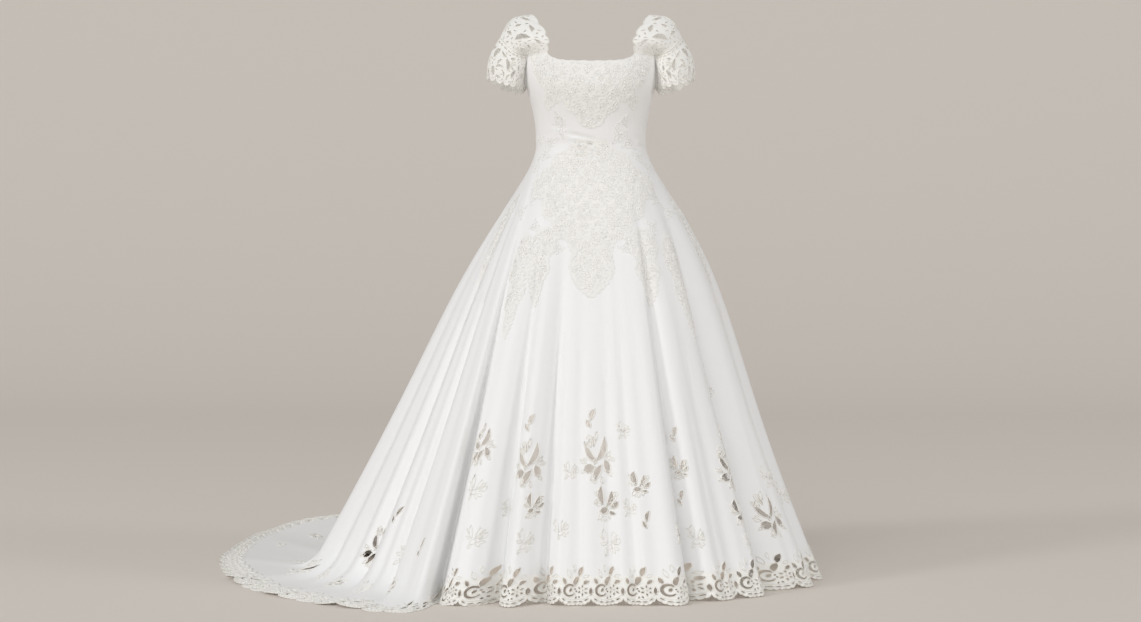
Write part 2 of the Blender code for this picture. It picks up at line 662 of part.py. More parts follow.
class Cloth:
    """All the dress's outer surface as one net of triangles, with a name on each."""

    def __init__(self):
        self.points = []
        self.triangles = []
        self.names = []
        self.laces = []

    def add(self, points, triangles, names, laces):
        """Add one flat pattern that has been placed in space."""
        offset = len(self.points)
        self.points.extend(points)
        self.triangles.extend(triangles + offset)
        self.names.extend(names)
        self.laces.extend(laces)

    def weld(self):
        """Join the patterns where they share points, and find the normals."""
        points = np.array(self.points)
        tree = KDTree(len(points))
        for index, point in enumerate(points):
            tree.insert(point, index)
        tree.balance()
        chosen = np.full(len(points), -1)
        for index, point in enumerate(points):
            if chosen[index] < 0:
                near = [hit[1] for hit in tree.find_range(point, MERGE_DISTANCE)]
                chosen[[other for other in near if chosen[other] < 0]] = index
        self.points = points
        self.triangles = chosen[np.array(self.triangles)]
        self.names = np.array(self.names)
        self.laces = np.array(self.laces)
        corners = points[self.triangles]
        cross = np.cross(corners[:, 1] - corners[:, 0], corners[:, 2] - corners[:, 0])
        normals = np.zeros_like(points)
        cross /= np.maximum(np.linalg.norm(cross, axis=1, keepdims=True), 1e-12)
        for corner in range(3):
            one = corners[:, (corner + 1) % 3] - corners[:, corner]
            two = corners[:, (corner + 2) % 3] - corners[:, corner]
            lengths = np.linalg.norm(one, axis=1) * np.linalg.norm(two, axis=1)
            angle = np.arccos(np.clip((one * two).sum(axis=1) / lengths, -1, 1))
            np.add.at(normals, self.triangles[:, corner], cross * angle[:, None])
        self.normals = normals / np.maximum(np.linalg.norm(normals, axis=1, keepdims=True), 1e-12)


def hem_edge(around):
    """Height of the lace's edge along the scallops."""
    part = np.mod(around / SCALLOP_WIDTH, 1.0)
    return SCALLOP_DEPTH * np.abs(2 * part - 1) ** 3


def skirt_rises(around):
    """Heights of cloth at which one meridian of the skirt gets points."""
    _, _, _, _, hanging, lying = meridian(np.array(around))
    rises = [float(lying + hanging * (1 - share)) for share in ROWS]
    if lying > FLOOR_LYING:
        rises += [float(lying + FLOOR_BEND * share) for share in BEND_ROWS]
        highest = lying - FLOOR_ROWS_START * FLOOR_BEND
        rises += list(np.arange(highest, FLOOR_ROWS_END, -FLOOR_ROW_STEP))
    return sorted(rise for rise in rises if rise > LOWEST_ROW)


def skirt_columns():
    """Places along the hem that the folds need, evened out."""
    places = []
    for share in FOLD_COLUMNS:
        places.extend(FOLDS["around"] + share * FOLDS["half_width"])
    places = np.sort(np.mod(places, HEM_LENGTH))
    kept = [places[0]]
    for spot in places[1:]:
        if spot - kept[-1] > LEAST_SPACING:
            more = int((spot - kept[-1]) / MOST_SPACING)
            kept.extend(np.linspace(kept[-1], spot, more + 2)[1:-1])
            kept.append(spot)
    return kept


def angle_rise(angle, height):
    """Place along the hem and cloth height of a point given on the body."""
    around = hem_place(angle)
    _, _, _, _, hanging, lying = meridian(around)
    return np.stack([around, lying + hanging * (1 - drop_share(np.asarray(height)))], axis=-1)


def seam_line(angle):
    """Seam of the skirt, from between two scallops up to the basque seam."""
    top = float(hem_place(from_front(angle)))
    foot = round(top / SCALLOP_WIDTH) * SCALLOP_WIDTH
    highest = float(seam_rise(np.array(top)))
    rises = [float(hem_edge(foot)), BORDER_DEPTH] + skirt_rises(top) + [highest]
    share = np.clip((np.array(rises) - SEAM_STRAIGHT) / (highest - SEAM_STRAIGHT), 0, 1)
    return np.stack([foot + (top - foot) * share, rises], axis=-1)


def drop_outline(angle, top, bottom, width):
    """Lobed outline of a lace drop on the skirt; the width is in millimetres."""
    shares = np.array([0.0, 0.12, 0.28, 0.40, 0.55, 0.68, 0.82])
    widths = np.array([0.35, 0.95, 1.00, 0.62, 0.85, 0.50, 0.42]) * width / 2000
    ends = angle_rise(np.array([angle, angle]), np.array([top, bottom]))
    middle = ends[0] + (ends[1] - ends[0]) * shares[:, None]
    step = 1e-3
    one = skirt_point(middle[:, 0] + step, middle[:, 1])
    two = skirt_point(middle[:, 0] - step, middle[:, 1])
    spread = np.linalg.norm(one - two, axis=1) / (2 * step)
    side = np.stack([widths / spread, np.zeros(7)], axis=-1)
    return np.concatenate([middle - side, ends[1:], (middle + side)[::-1]])


def both_halves(rows, beyond):
    """Outline in degrees and heights from the rows of one side, closed past an edge.
    The rows run from that edge to the centre front."""
    half = np.stack([rows["angle"], rows["height"]], axis=-1)
    other = (half * (-1, 1))[::-1][1:]
    return np.concatenate([half, other, [(-half[0, 0], beyond), (half[0, 0], beyond)]])


def thin_out(dots, surface):
    """Leave out dots that come too near to an earlier one on the finished cloth."""
    spots = surface(dots[:, 0], dots[:, 1])
    kept = np.zeros(len(dots), bool)
    for index, spot in enumerate(spots):
        apart = np.linalg.norm(spots[kept] - spot, axis=1)
        kept[index] = not len(apart) or apart.min() > LEAST_SPACING
    return dots[kept]


def seam_at(line, rise):
    """Place of a seam along the hem at these cloth heights."""
    return np.interp(rise, line[:, 1], line[:, 0])


def skirt_gaps(first, last):
    """Outlines of the cutwork in the border and in the motifs above it."""
    back = last * SCALLOP_WIDTH
    gaps = []
    for number in range(first, last):
        middle = ((number + 0.5) * SCALLOP_WIDTH, 0.0)
        gaps += motif(SCROLL, middle)
        if LEAVES_FROM < middle[0] < LEAVES_TO or number % 2:
            gaps += motif(BORDER_LEAF, middle, side_points=1)
    for rows, shape in ((SPRAYS, SPRAY), (TULIPS, TULIP), (BUDS, BUD)):
        for around, rise, size, turn in rows_of(rows):
            around = around if around < back else around - HEM_LENGTH
            gaps += motif(shape, (around, rise), size, turn, side_points=2 if shape is SPRAY else 1)
    return gaps


def lay_out_skirt(cloth):
    """Cut the skirt with its lace border, its cutwork and the lace laid on it."""
    seams = {angle: seam_line(angle) for angle in SKIRT_SEAMS}
    right = seams[180.0]
    left = right - (HEM_LENGTH, 0.0)
    first = round(left[0, 0] / SCALLOP_WIDTH)
    last = round(right[0, 0] / SCALLOP_WIDTH)
    edge = np.array([(number + share) * SCALLOP_WIDTH
                     for number in range(first, last) for share in EDGE_SHARES])
    edge = np.stack([edge, hem_edge(edge)], axis=-1)
    angles = np.concatenate([-BASQUE["angle"][::-1], BASQUE["angle"][1:]])
    top = np.stack([hem_place(angles), seam_rise(hem_place(angles))], axis=-1)
    outline = np.concatenate([edge, right, top[::-1][1:-1], left[::-1][:-1]])
    border = np.arange(first, last + 0.25, 0.5) * SCALLOP_WIDTH
    border = np.stack([border, np.full_like(border, BORDER_DEPTH)], axis=-1)
    gaps = skirt_gaps(first, last)
    low = both_halves(BASQUE_LACE_LOW, 1.2)
    laces = {"basque_lace": angle_rise(low[:, 0], low[:, 1])}
    for number, (angle, high, bottom, width) in enumerate(rows_of(LACE_DROPS)):
        laces[f"lace_drop_{number + 1:02d}"] = drop_outline(from_front(angle), high, bottom, width)
    lines = [line for angle, line in seams.items() if angle != 180.0] + [border]
    dots = []
    for around in skirt_columns():
        around = around if around < right[0, 0] else around - HEM_LENGTH
        dots += [(around, rise) for rise in skirt_rises(around)]
    dots = np.array(dots)
    dots = thin_out(dots[inside(outline, dots)], skirt_point)
    dots = clear_dots(dots, [outline] + gaps + list(laces.values()) + lines, DOT_CLEARANCE)
    flat, faces = triangulate([outline] + gaps + list(laces.values()), lines, dots)
    middle = flat[faces].mean(axis=1)
    keep = inside(outline, middle)
    for gap in gaps:
        keep &= ~inside(gap, middle)
    faces = faces[keep]
    middle = middle[keep]
    order = [left] + [seams[angle] for angle in SKIRT_SEAMS]
    names = np.full(len(faces), "", object)
    for panel, one, other in zip(SKIRT_PANELS, order, order[1:]):
        past_one = middle[:, 0] > seam_at(one, middle[:, 1])
        names[past_one & (middle[:, 0] < seam_at(other, middle[:, 1]))] = panel
    hems = middle[:, 1] < BORDER_DEPTH
    names[hems] = [name.replace("skirt", "hem_lace") for name in names[hems]]
    cloth.add(skirt_point(flat[:, 0], flat[:, 1]), faces, names, lace_names(laces, middle))


def lace_names(laces, middle):
    """Name of the lace that lies on each triangle, if any."""
    names = np.full(len(middle), "", object)
    for name, outline in laces.items():
        names[inside(outline, middle)] = name
    return names


def upright(angle):
    """Line up the bodice at one angle, from the basque seam to its upper edge."""
    low = float(basque_height(angle))
    high = float(top_height(angle))
    inner = BODICE_ROWS[(BODICE_ROWS > low + BODICE_CLEARANCE)]
    inner = inner[inner < high - BODICE_CLEARANCE]
    return np.array([(angle, height) for height in [low, *inner, high]])


def lay_out_bodice(cloth):
    """Cut the bodice between its upper edge and the basque seam."""
    scale = np.array([BODICE_SCALE, 1.0])
    angles = np.concatenate([-TOP_EDGE["angle"][::-1], TOP_EDGE["angle"][1:]])
    upper = np.stack([angles, top_height(angles)], axis=-1)
    angles = np.concatenate([-BASQUE["angle"][::-1], BASQUE["angle"][1:]])
    lower = np.stack([angles, basque_height(angles)], axis=-1)
    outline = np.concatenate([lower, upright(180.0)[1:-1],
                              upper[::-1], upright(-180.0)[::-1][1:-1]])
    seams = [upright(angle) for angle in (-SIDE_SEAM, -PRINCESS_SEAM, PRINCESS_SEAM, SIDE_SEAM)]
    laces = {"bust_lace": both_halves(table("angle height", *list(rows_of(BUST_LACE))[::-1]), 1.4),
             "basque_lace": both_halves(BASQUE_LACE_TOP, 0.8)}
    dots = np.array([(angle, height) for height in BODICE_ROWS
                     for angle in np.arange(-171.0, 172.0, BODICE_COLUMN_STEP)])
    dots = dots[inside(outline, dots)]
    chains = [chain * scale for chain in [outline] + seams + list(laces.values())]
    dots = clear_dots(dots * scale, chains, BODICE_CLEARANCE)
    flat, faces = triangulate([chains[0]] + chains[5:], chains[1:5], dots)
    flat = flat / scale
    middle = flat[faces].mean(axis=1)
    faces = faces[inside(outline, middle)]
    middle = flat[faces].mean(axis=1)
    side = np.where(middle[:, 0] > 0, "left", "right")
    turned = np.abs(middle[:, 0])
    names = np.array([
        "bodice_front" if far < PRINCESS_SEAM
        else "bodice_side_front_" + hand if far < SIDE_SEAM
        else "bodice_back_" + hand
        for far, hand in zip(turned, side)], object)
    cloth.add(bodice_point(flat[:, 0], flat[:, 1]), faces, names, lace_names(laces, middle))


def add_pair(cloth, points, faces, names):
    """Add a pattern of the wearer's left side and its mirror image."""
    blank = np.full(len(faces), "", object)
    cloth.add(points, faces, names, blank)
    other = [name.replace("left", "right") for name in names]
    cloth.add(points * (-1, 1, 1), faces[:, ::-1], other, blank)


def lay_out_straps(cloth):
    """Cut the two lace straps that go over the shoulders."""
    scale = np.array([STRAP_WIDTH, STRAP_LENGTH])
    angles = TOP_EDGE["angle"]
    front = angles[(angles >= PRINCESS_SEAM) & (angles <= ARMHOLE_FRONT)]
    back = angles[(angles >= ARMHOLE_BACK) & (angles <= BACK_STRAP)]
    low = (front - PRINCESS_SEAM) / (ARMHOLE_FRONT - PRINCESS_SEAM)
    high = (BACK_STRAP - back) / (BACK_STRAP - ARMHOLE_BACK)
    shares = np.arange(1, STRAP_ROWS) / STRAP_ROWS
    outline = np.concatenate([
        np.stack([low, np.zeros(len(low))], axis=-1),
        np.stack([np.ones(len(shares)), shares], axis=-1),
        np.stack([high, np.ones(len(high))], axis=-1),
        np.stack([np.zeros(len(shares)), shares[::-1]], axis=-1)]) * scale
    gaps = motif(STRAP_GAPS, (0.0, 0.0))
    dots = np.array([(across, share) for share in shares for across in (0.25, 0.5, 0.75)]) * scale
    dots = clear_dots(dots, [outline] + gaps, LACE_CLEARANCE)
    flat, faces = triangulate([outline] + gaps, [], dots)
    middle = flat[faces].mean(axis=1)
    keep = inside(outline, middle)
    for gap in gaps:
        keep &= ~inside(gap, middle)
    flat = flat / scale
    add_pair(cloth, strap_point(flat[:, 0], flat[:, 1]), faces[keep],
             np.full(keep.sum(), "strap_lace_left", object))


def lay_out_sleeves(cloth):
    """Cut the two short sleeves, each in a front and a back half."""
    scale = np.array([SLEEVE_ROUND, SLEEVE_LENGTH])
    over = np.arange(STRAP_ROWS + 1) / STRAP_ROWS * STRAP_SHARE
    under = STRAP_SHARE + (1 - STRAP_SHARE) * np.arange(1, 7) / 6
    ring = np.concatenate([over[over > STRAP_SHARE / 2 - 1e-6], under, 1 + over[1:STRAP_ROWS // 2 + 1]])
    start = STRAP_SHARE / 2
    scallops = round(SLEEVE_ROUND / SLEEVE_SCALLOP_PITCH / 2) * 2
    hem = start + np.arange(2 * scallops + 1) / (2 * scallops)
    depth = np.where(np.arange(len(hem)) % 2, 1.0, 1.0 - SLEEVE_SCALLOP_DEPTH)
    top = np.stack([ring, np.zeros(len(ring))], axis=-1)
    low = np.stack([hem, -depth], axis=-1)
    right = np.array([(start + 1, side) for side in SLEEVE_SIDE_ROWS])
    outline = np.concatenate([low, right[::-1], top[::-1], right - (1, 0)]) * scale
    split = 0.5 + start
    seam = [(split, 0.0)] + [(split, side) for side in SLEEVE_SIDE_ROWS] + [(split, low[scallops, 1])]
    seam = np.array(seam) * scale
    gaps = []
    for x, y, length, width, turn, bend in rows_of(SLEEVE_GAPS):
        forward = ((start + 1) * SLEEVE_ROUND - x / 1000, y / 1000)
        backward = (start * SLEEVE_ROUND + x / 1000, y / 1000)
        gaps.append(leaf(forward, length / 1000, width / 1000, 180 - turn, -bend))
        gaps.append(leaf(backward, length / 1000, width / 1000, turn, bend))
    dots = np.array([(start + column / SLEEVE_COLUMNS, row)
                     for column in range(1, SLEEVE_COLUMNS) for row in SLEEVE_DOT_ROWS])
    dots = clear_dots(dots * scale, [outline, seam] + gaps, LACE_CLEARANCE)
    flat, faces = triangulate([outline] + gaps, [seam], dots)
    middle = flat[faces].mean(axis=1)
    keep = inside(outline, middle)
    for gap in gaps:
        keep &= ~inside(gap, middle)
    names = np.where(middle[keep, 0] < split * SLEEVE_ROUND, "sleeve_left_back", "sleeve_left_front")
    flat = flat / scale
    add_pair(cloth, sleeve_point(flat[:, 0], -flat[:, 1]), faces[keep], names.astype(object))


def new_material(name, colour, roughness, sheen):
    """Plain material of one cloth or trim."""
    material = bpy.data.materials.new(name)
    material.use_nodes = True
    shader = material.node_tree.nodes["Principled BSDF"]
    shader.inputs["Base Color"].default_value = (*colour, 1.0)
    shader.inputs["Roughness"].default_value = roughness
    shader.inputs["Metallic"].default_value = 0.0
    shader.inputs["Sheen Weight"].default_value = sheen
    return material


def border_moves(points, normals, triangles):
    """How far each point on a piece's border moves inward to leave half a seam gap."""
    count = len(points)
    edges = np.concatenate([triangles[:, [0, 1]], triangles[:, [1, 2]], triangles[:, [2, 0]]])
    keys = edges[:, 0] * count + edges[:, 1]
    back = edges[:, 1] * count + edges[:, 0]
    border = edges[~np.isin(keys, back)]
    way = points[border[:, 1]] - points[border[:, 0]]
    total = np.zeros_like(points)
    inward = np.cross(normals[border], way[:, None])
    inward /= np.linalg.norm(inward, axis=2, keepdims=True)
    leaving = dict(zip(border[:, 0], inward[:, 0]))
    arriving = dict(zip(border[:, 1], inward[:, 1]))
    for index, one in leaving.items():
        other = arriving[index]
        total[index] = (one + other) / max(1.0 + float(one @ other), 0.5)
    return border, total * SEAM_GAP / 2


def make_wall(name, cloth, keep, outer, inner, material, collection):
    """Closed piece of cloth from the kept triangles, between two distances from the surface."""
    used, local = np.unique(cloth.triangles[keep], return_inverse=True)
    triangles = local.reshape(-1, 3)
    points = cloth.points[used]
    normals = cloth.normals[used]
    border, moves = border_moves(points, normals, triangles)
    count = len(points)
    places = np.concatenate([points + moves + normals * outer, points + moves + normals * inner])
    sides = []
    for one, other in border:
        if one < other:
            sides += [(one, one + count, other + count), (one, other + count, other)]
        else:
            sides += [(one, one + count, other), (other, one + count, other + count)]
    faces = np.concatenate([triangles, triangles[:, ::-1] + count, sides])
    mesh = bpy.data.meshes.new(name)
    mesh.from_pydata(places.tolist(), [], faces.tolist())
    mesh.shade_smooth()
    mesh.set_sharp_from_angle(angle=math.radians(SHARP_EDGE))
    mesh.materials.append(material)
    piece = bpy.data.objects.new(name, mesh)
    collection.objects.link(piece)
    return piece


def make_button(number, material, collection):
    """Covered button on the centre back seam."""
    height = BUTTON_TOP - number * BUTTON_PITCH
    seam = upright(180.0)
    above = int(np.searchsorted(seam[:, 1], height))
    low, high = bodice_point(seam[above - 1:above + 1, 0], seam[above - 1:above + 1, 1])
    spot = low + (high - low) * (height - seam[above - 1, 1]) / (seam[above, 1] - seam[above - 1, 1])
    up = high - low
    outward = Vector((0.0, up[2], -up[1])).normalized()
    mesh = bpy.data.meshes.new("back_button")
    shape = bmesh.new()
    bmesh.ops.create_uvsphere(shape, u_segments=8, v_segments=5, radius=BUTTON_RADIUS)
    bmesh.ops.scale(shape, vec=(1.0, 1.0, BUTTON_HEIGHT / BUTTON_RADIUS), verts=shape.verts)
    shape.to_mesh(mesh)
    shape.free()
    mesh.shade_smooth()
    mesh.materials.append(material)
    button = bpy.data.objects.new(f"back_button_{number + 1:02d}", mesh)
    button.rotation_euler = outward.to_track_quat("Z", "Y").to_euler()
    button.location = Vector(spot) + outward * (BUTTON_HEIGHT + 2 * SEAM_GAP)
    collection.objects.link(button)


def main():
    for item in list(bpy.data.objects):
        bpy.data.objects.remove(item)
    collection = bpy.data.collections.new("wedding_dress")
    bpy.context.scene.collection.children.link(collection)
    satin = new_material("white_satin", (0.88, 0.88, 0.87), 0.38, 0.3)
    lace = new_material("ivory_lace", (0.84, 0.82, 0.78), 0.75, 0.1)
    cover = new_material("satin_button", (0.86, 0.86, 0.85), 0.40, 0.2)
    cloth = Cloth()
    lay_out_bodice(cloth)
    lay_out_skirt(cloth)
    lay_out_straps(cloth)
    lay_out_sleeves(cloth)
    cloth.weld()
    for name in sorted(set(cloth.names)):
        lacy = name.startswith(("hem", "strap", "sleeve"))
        wall = LACE_WALL if lacy else SATIN_WALL
        make_wall(name, cloth, cloth.names == name, 0.0, -wall,
                  lace if lacy else satin, collection)
    for name in sorted(set(cloth.laces) - {""}):
        make_wall(name, cloth, cloth.laces == name, SEAM_GAP + APPLIQUE_WALL, SEAM_GAP,
                  lace, collection)
    for number in range(BUTTONS):
        make_button(number, cover, collection)


main()
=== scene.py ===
import math

import bpy
import bmesh
import numpy as np
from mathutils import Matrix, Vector
from mathutils.geometry import delaunay_2d_cdt
from mathutils.kdtree import KDTree


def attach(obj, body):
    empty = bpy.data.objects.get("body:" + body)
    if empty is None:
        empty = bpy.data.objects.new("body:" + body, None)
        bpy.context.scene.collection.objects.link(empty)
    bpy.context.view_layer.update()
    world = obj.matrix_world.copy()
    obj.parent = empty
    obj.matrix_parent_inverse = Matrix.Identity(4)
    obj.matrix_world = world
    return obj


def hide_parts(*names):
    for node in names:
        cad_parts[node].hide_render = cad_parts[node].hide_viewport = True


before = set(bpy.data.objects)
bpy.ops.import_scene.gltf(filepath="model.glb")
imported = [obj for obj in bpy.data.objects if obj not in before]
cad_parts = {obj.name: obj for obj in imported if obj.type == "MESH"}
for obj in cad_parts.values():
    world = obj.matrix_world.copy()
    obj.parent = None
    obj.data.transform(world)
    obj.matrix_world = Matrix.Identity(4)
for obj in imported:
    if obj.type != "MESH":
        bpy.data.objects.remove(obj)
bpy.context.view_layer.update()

# Wedding dress of white satin with corded lace, filled out as if it were worn.
# Metres. Every surface is worked out from the same tables as the solids, more finely.

# Driving sizes
SHOULDER_HEIGHT = 1.450      # shoulder line above the floor
WAIST_HEIGHT = 1.115
HEM_HEIGHT = 0.0012          # outer side of the cloth at the hem and on the floor
SATIN_WALL = 0.0009
LACE_WALL = 0.0009
LAID_LOW = 0.0003            # laid lace, above the satin
LAID_HIGH = 0.0012
FLOOR_BEND = 0.080           # half length of the bend where the skirt meets the floor
BEND_SHARE = 0.8             # most of the lying cloth that the half bend takes
FOLD_GROWTH = 1.10           # how folds deepen on their way down
WAIST_EASE = 0.05            # share of the drop over which the waist curves outward
HIP_PEAK = 0.30              # share of the drop where the hips are fullest
CREASE_RIDGE = 0.6           # ridge beside each crease, as a share of its depth
FOLD_FADE = 0.15             # how far the hanging folds run on over the floor
RIDGE_RISE = 0.06            # how soon the ridges on the floor rise, and how far they reach
RIDGE_FADE = 0.45
BODICE_SCALE = 0.0026        # metres of bodice for each degree round the body
BODICE_UNITS = np.array([BODICE_SCALE, 1.0])

# Seams, as degrees round the body from the centre front towards the wearer's left
PRINCESS_SEAM = 35.0
SIDE_SEAM = 90.0
SKIRT_SEAMS = (-120.0, -61.0, 65.0, 120.0, 180.0)
SKIRT_PANELS = ("skirt_back_right", "skirt_side_right", "skirt_front", "skirt_side_left",
                "skirt_back_left")
ARMHOLE_FRONT = 68.0
ARMHOLE_BACK = 114.0
BACK_STRAP = 140.0
STRAP_ENDS = ((PRINCESS_SEAM, ARMHOLE_FRONT), (BACK_STRAP, ARMHOLE_BACK))

# Lace border at the hem
BORDER_DEPTH = 0.070
SCALLOP_PITCH = 0.0765
SCALLOP_DEPTH = 0.015
PICOTS = 8                   # small loops along the edge of one scallop
PICOT_DEPTH = 0.0026
EDGE_STEPS = PICOTS * 5      # points along the edge of one scallop
GAP_LEAST_WIDTH = 0.0030
FINE_LACE_TOP = 0.052        # small gaps of a scallop end here, higher in its middle
FINE_LACE_ARCH = 0.009
HEM_BOW = 0.0145             # height of the cord that runs along above the scallop's edge

# Small gaps between the large ones: distance of their middles, length, width and how far
# their middles stay clear of other gaps
SCALLOP_FILL = (0.0074, 0.0064, 0.0046, 0.0041)
LAID_FILL = (0.0105, 0.0072, 0.0040, 0.0052)
NET_FILL = (0.0112, 0.0088, 0.0030, 0.0050)

# Corded flowers: distance of their middles, how far they stay inside the lace's outline,
# and the radius round each that small gaps leave free
LAID_FLOWERS = (0.026, 0.009)
LAID_CLEARING = 0.0135
NET_FLOWERS = (0.029, 0.011)
NET_CLEARING = 0.0125
NET_GAP_CLEAR = 0.0048       # how far a ring's gaps stay clear of others
NET_FLOWER_LEAST = 0.0065    # a flower nearer than this to a large gap is left out
NET_FLOWER_NEAR = 0.010      # and nearer than this it is made smaller, to this size
NET_FLOWER_SMALL = 0.80
NET_CORDS_SIZE = 0.8         # size of the corded flower inside its ring of gaps
FLOWER_SIZE = 0.85           # usual size and how far it varies
FLOWER_VARIES = 0.25
PETAL_RING = (7.0, 5, 9.5, 7.0)      # radius, count, length and width, in millimetres
NET_RING = (11.5, 7, 7.0, 3.4)       # the same for the gaps round a flower of net lace
FLOWER_ROSE = (3.8, 1.1, 8)          # radius in millimetres, turns and points of its spiral

# Straps and sleeves
STRAP_CROWN = 0.020          # how far the strap stands out over the shoulder
CROWN_ASIDE = 0.55           # the way it stands out: aside, fore and aft, up
CROWN_AHEAD = 0.45
CROWN_UP = 0.80
STRAP_LENGTH = 0.240         # cloth sizes that keep the lace's gaps in shape
STRAP_WIDTH = 0.085
STRAP_SHARE = 0.70           # share of the sleeve's round that hangs from the strap
STRAP_LOBES = 8              # lobes along its neck edge, and their depth as a share of its width
STRAP_LOBE_DEPTH = 0.050
NECK_LOBE_DEPTH = 0.0030
ARM_CENTRE = 0.205
SLEEVE_SWELL = 0.010         # how far the sleeve stands out between its seam and its hem
SLEEVE_SWELL_UNDER = 0.3     # share of the swell that is left under the arm
SLEEVE_CLEAR = 0.0016        # sleeve stands this far outside the bodice under the arm
SLEEVE_ROUND = 0.380
SLEEVE_LENGTH = 0.100
SLEEVE_SCALLOP_PITCH = 0.024
SLEEVE_SCALLOP_DEPTH = 0.10  # share of the sleeve's length, like the next three
SLEEVE_PICOT_DEPTH = 0.014
SLEEVE_ROW = 0.90            # the corded row above the scallops, and how far it waves
SLEEVE_ROW_WAVE = 0.07
SLEEVE_PICOTS = 5            # small loops along the edge of one scallop
SLEEVE_STEPS = 10            # points along the edge of one scallop
SLEEVE_SEAM_CLEAR = 0.006    # gaps stay this far from the middle seam
SLEEVE_END_CLEAR = 0.001     # and from the underarm ends
STRAP_ROWS = 12

# Covered buttons down the back
BUTTONS = 12
BUTTON_RADIUS = 0.005
BUTTON_HEIGHT = 0.0026       # half of the button's thickness
BUTTON_TOP = 1.232
BUTTON_PITCH = 0.0165
BUTTON_LIFT = 0.0003         # room between button and satin

# Spacing of the points, and how near two of them may be
COLUMN = 0.009
ROW = 0.019
BORDER_DOT = 0.0075
BODICE_STEP = 0.0056
LACE_STEP = 0.006
ROW_SHARE = 0.87             # rows of a honeycomb, as a share of its columns' distance
LEAST_LENGTH = 1e-6
TINY = 1e-12
SAME_POINT = 3e-5
MERGE_DISTANCE = 5e-5
SKIRT_CLEAR = 0.0032         # inner points stay this far from outlines, gaps and seams
BODICE_CLEAR = 0.0026
LACE_CLEAR = 0.0024
SEAM_STEP = 0.017
SEAM_LEAN_START = 0.15       # below this height a skirt seam runs straight up
TOP_RISE = 2.6               # more than the longest cloth from hem to basque
SPARE_COLUMNS = 40           # columns past the back seam, which leans aside
FLOOR_MARGIN = 0.16          # rows stay close on the floor and this far above it
NARROWEST = 0.05             # least share of its width that narrow cloth counts as
COLUMN_PROBE = 0.004
BODICE_FOOT = 0.87           # range of the bodice's inner points
BODICE_TOP = 1.345
BODICE_HALF = 0.466
LACE_FOOT = 0.85             # lowest height at which the bodice's lace gets flowers
PROBE = 1e-3                 # half of the step that measures how wide the cloth lies
CORD_PROBE = 8e-4

# Raised cords of each kind: radius, and how far their middle lies above the cloth
CORD_KINDS = {
    "cutwork": (0.0017, 0.0003), "leaf": (0.0014, 0.0002), "rose": (0.0013, 0.0002),
    "raised": (0.0012, 0.0), "laid": (0.0011, LAID_HIGH), "sprig": (0.0009, 0.0001),
    "hem gap": (0.0012, 0.0004), "hem leaf": (0.0014, 0.0003), "hem stem": (0.0012, 0.0002),
    "hem bow": (0.0011, 0.0003), "hem edge": (0.0013, 0.0002), "neckline": (0.0013, 0.0006),
    "net gap": (0.0010, 0.0002), "net flower": (0.0008, 0.0003), "strap neck": (0.0012, 0.0002),
    "strap arm": (0.0014, 0.0004), "sleeve edge": (0.0011, 0.0002), "sleeve row": (0.0009, 0.0002),
}
MIRRORED = ("sleeve", "strap")       # surfaces whose cords are made for both sides
CORD_END = 0.35                      # an open cord's ends, as a share of its radius

# Stage: a sheet of paper, lights and the place of the photo's camera
STAGE_SIDE = 34.0
PAPER_BEND_START = 8.0
PAPER_BEND_RADIUS = 12.0
PAPER_BEND_STEPS = 32
WORLD_STRENGTH = 0.38
WINDOW_STRENGTH = 0.90
WINDOW_WAY = (0.20, 0.79, -0.58)
WINDOW_ANGLE = 50                    # degrees; a wide sun gives soft shadows
LIGHTS = (
    ("key", (-9.8, -7.8, 4.2), (0.0, 0.0, -0.6), (2.4, 2.8), 390.0, "#FFFFFF"),
    ("fill", (10.0, -5.2, 2.7), (0.0, 0.0, -0.7), (2.8, 3.2), 215.0, "#FFFFFF"),
    ("hollow", (-0.05, -0.18, -1.00), (-0.05, 1.40, -0.80), (0.25, 0.25), 1.7, "#FFF8F0"),
)
PHOTO_WIDTH = 1141.0                 # pixels, like the next two
FOCAL_LENGTH = 1949.0
PHOTO_SHIFT = -20.5
SENSOR_WIDTH = 36.0                  # millimetres
CAMERA_DISTANCE = 5.0
CAMERA_HEIGHT = 0.69


def table(names, *rows):
    """Rows of numbers as named columns; what a short row leaves out is zero."""
    names = names.split()
    rows = [row + (0.0,) * (len(names) - len(row)) for row in rows]
    return dict(zip(names, np.array(rows, float).T))


# Level sections of the bodice
SECTIONS = table(
    "height half_width front back squareness",
    (1.115, 0.141, 0.1, 0.084, 0.06), (1.167, 0.1435, 0.107, 0.088, 0.08), (1.205, 0.15, 0.117, 0.092, 0.1),
    (1.262, 0.165, 0.127, 0.096, 0.14), (1.3, 0.171, 0.121, 0.096, 0.16),
    (1.345, 0.173, 0.105, 0.094, 0.16),
)

# Upper edge of the bodice: neckline, foot of the strap, armhole, strap, back scoop
TOP_EDGE = table(
    "angle height",
    (0, 1.318), (12, 1.319), (24, 1.323), (31, 1.33), (35, 1.337), (43, 1.338), (51, 1.338), (60, 1.338),
    (68, 1.337), (73, 1.318), (79, 1.292), (84, 1.273), (90, 1.265), (97, 1.271), (105, 1.292),
    (114, 1.318), (120, 1.321), (127, 1.321), (134, 1.318), (140, 1.31), (149, 1.283), (159, 1.262),
    (169, 1.249), (180, 1.245),
)

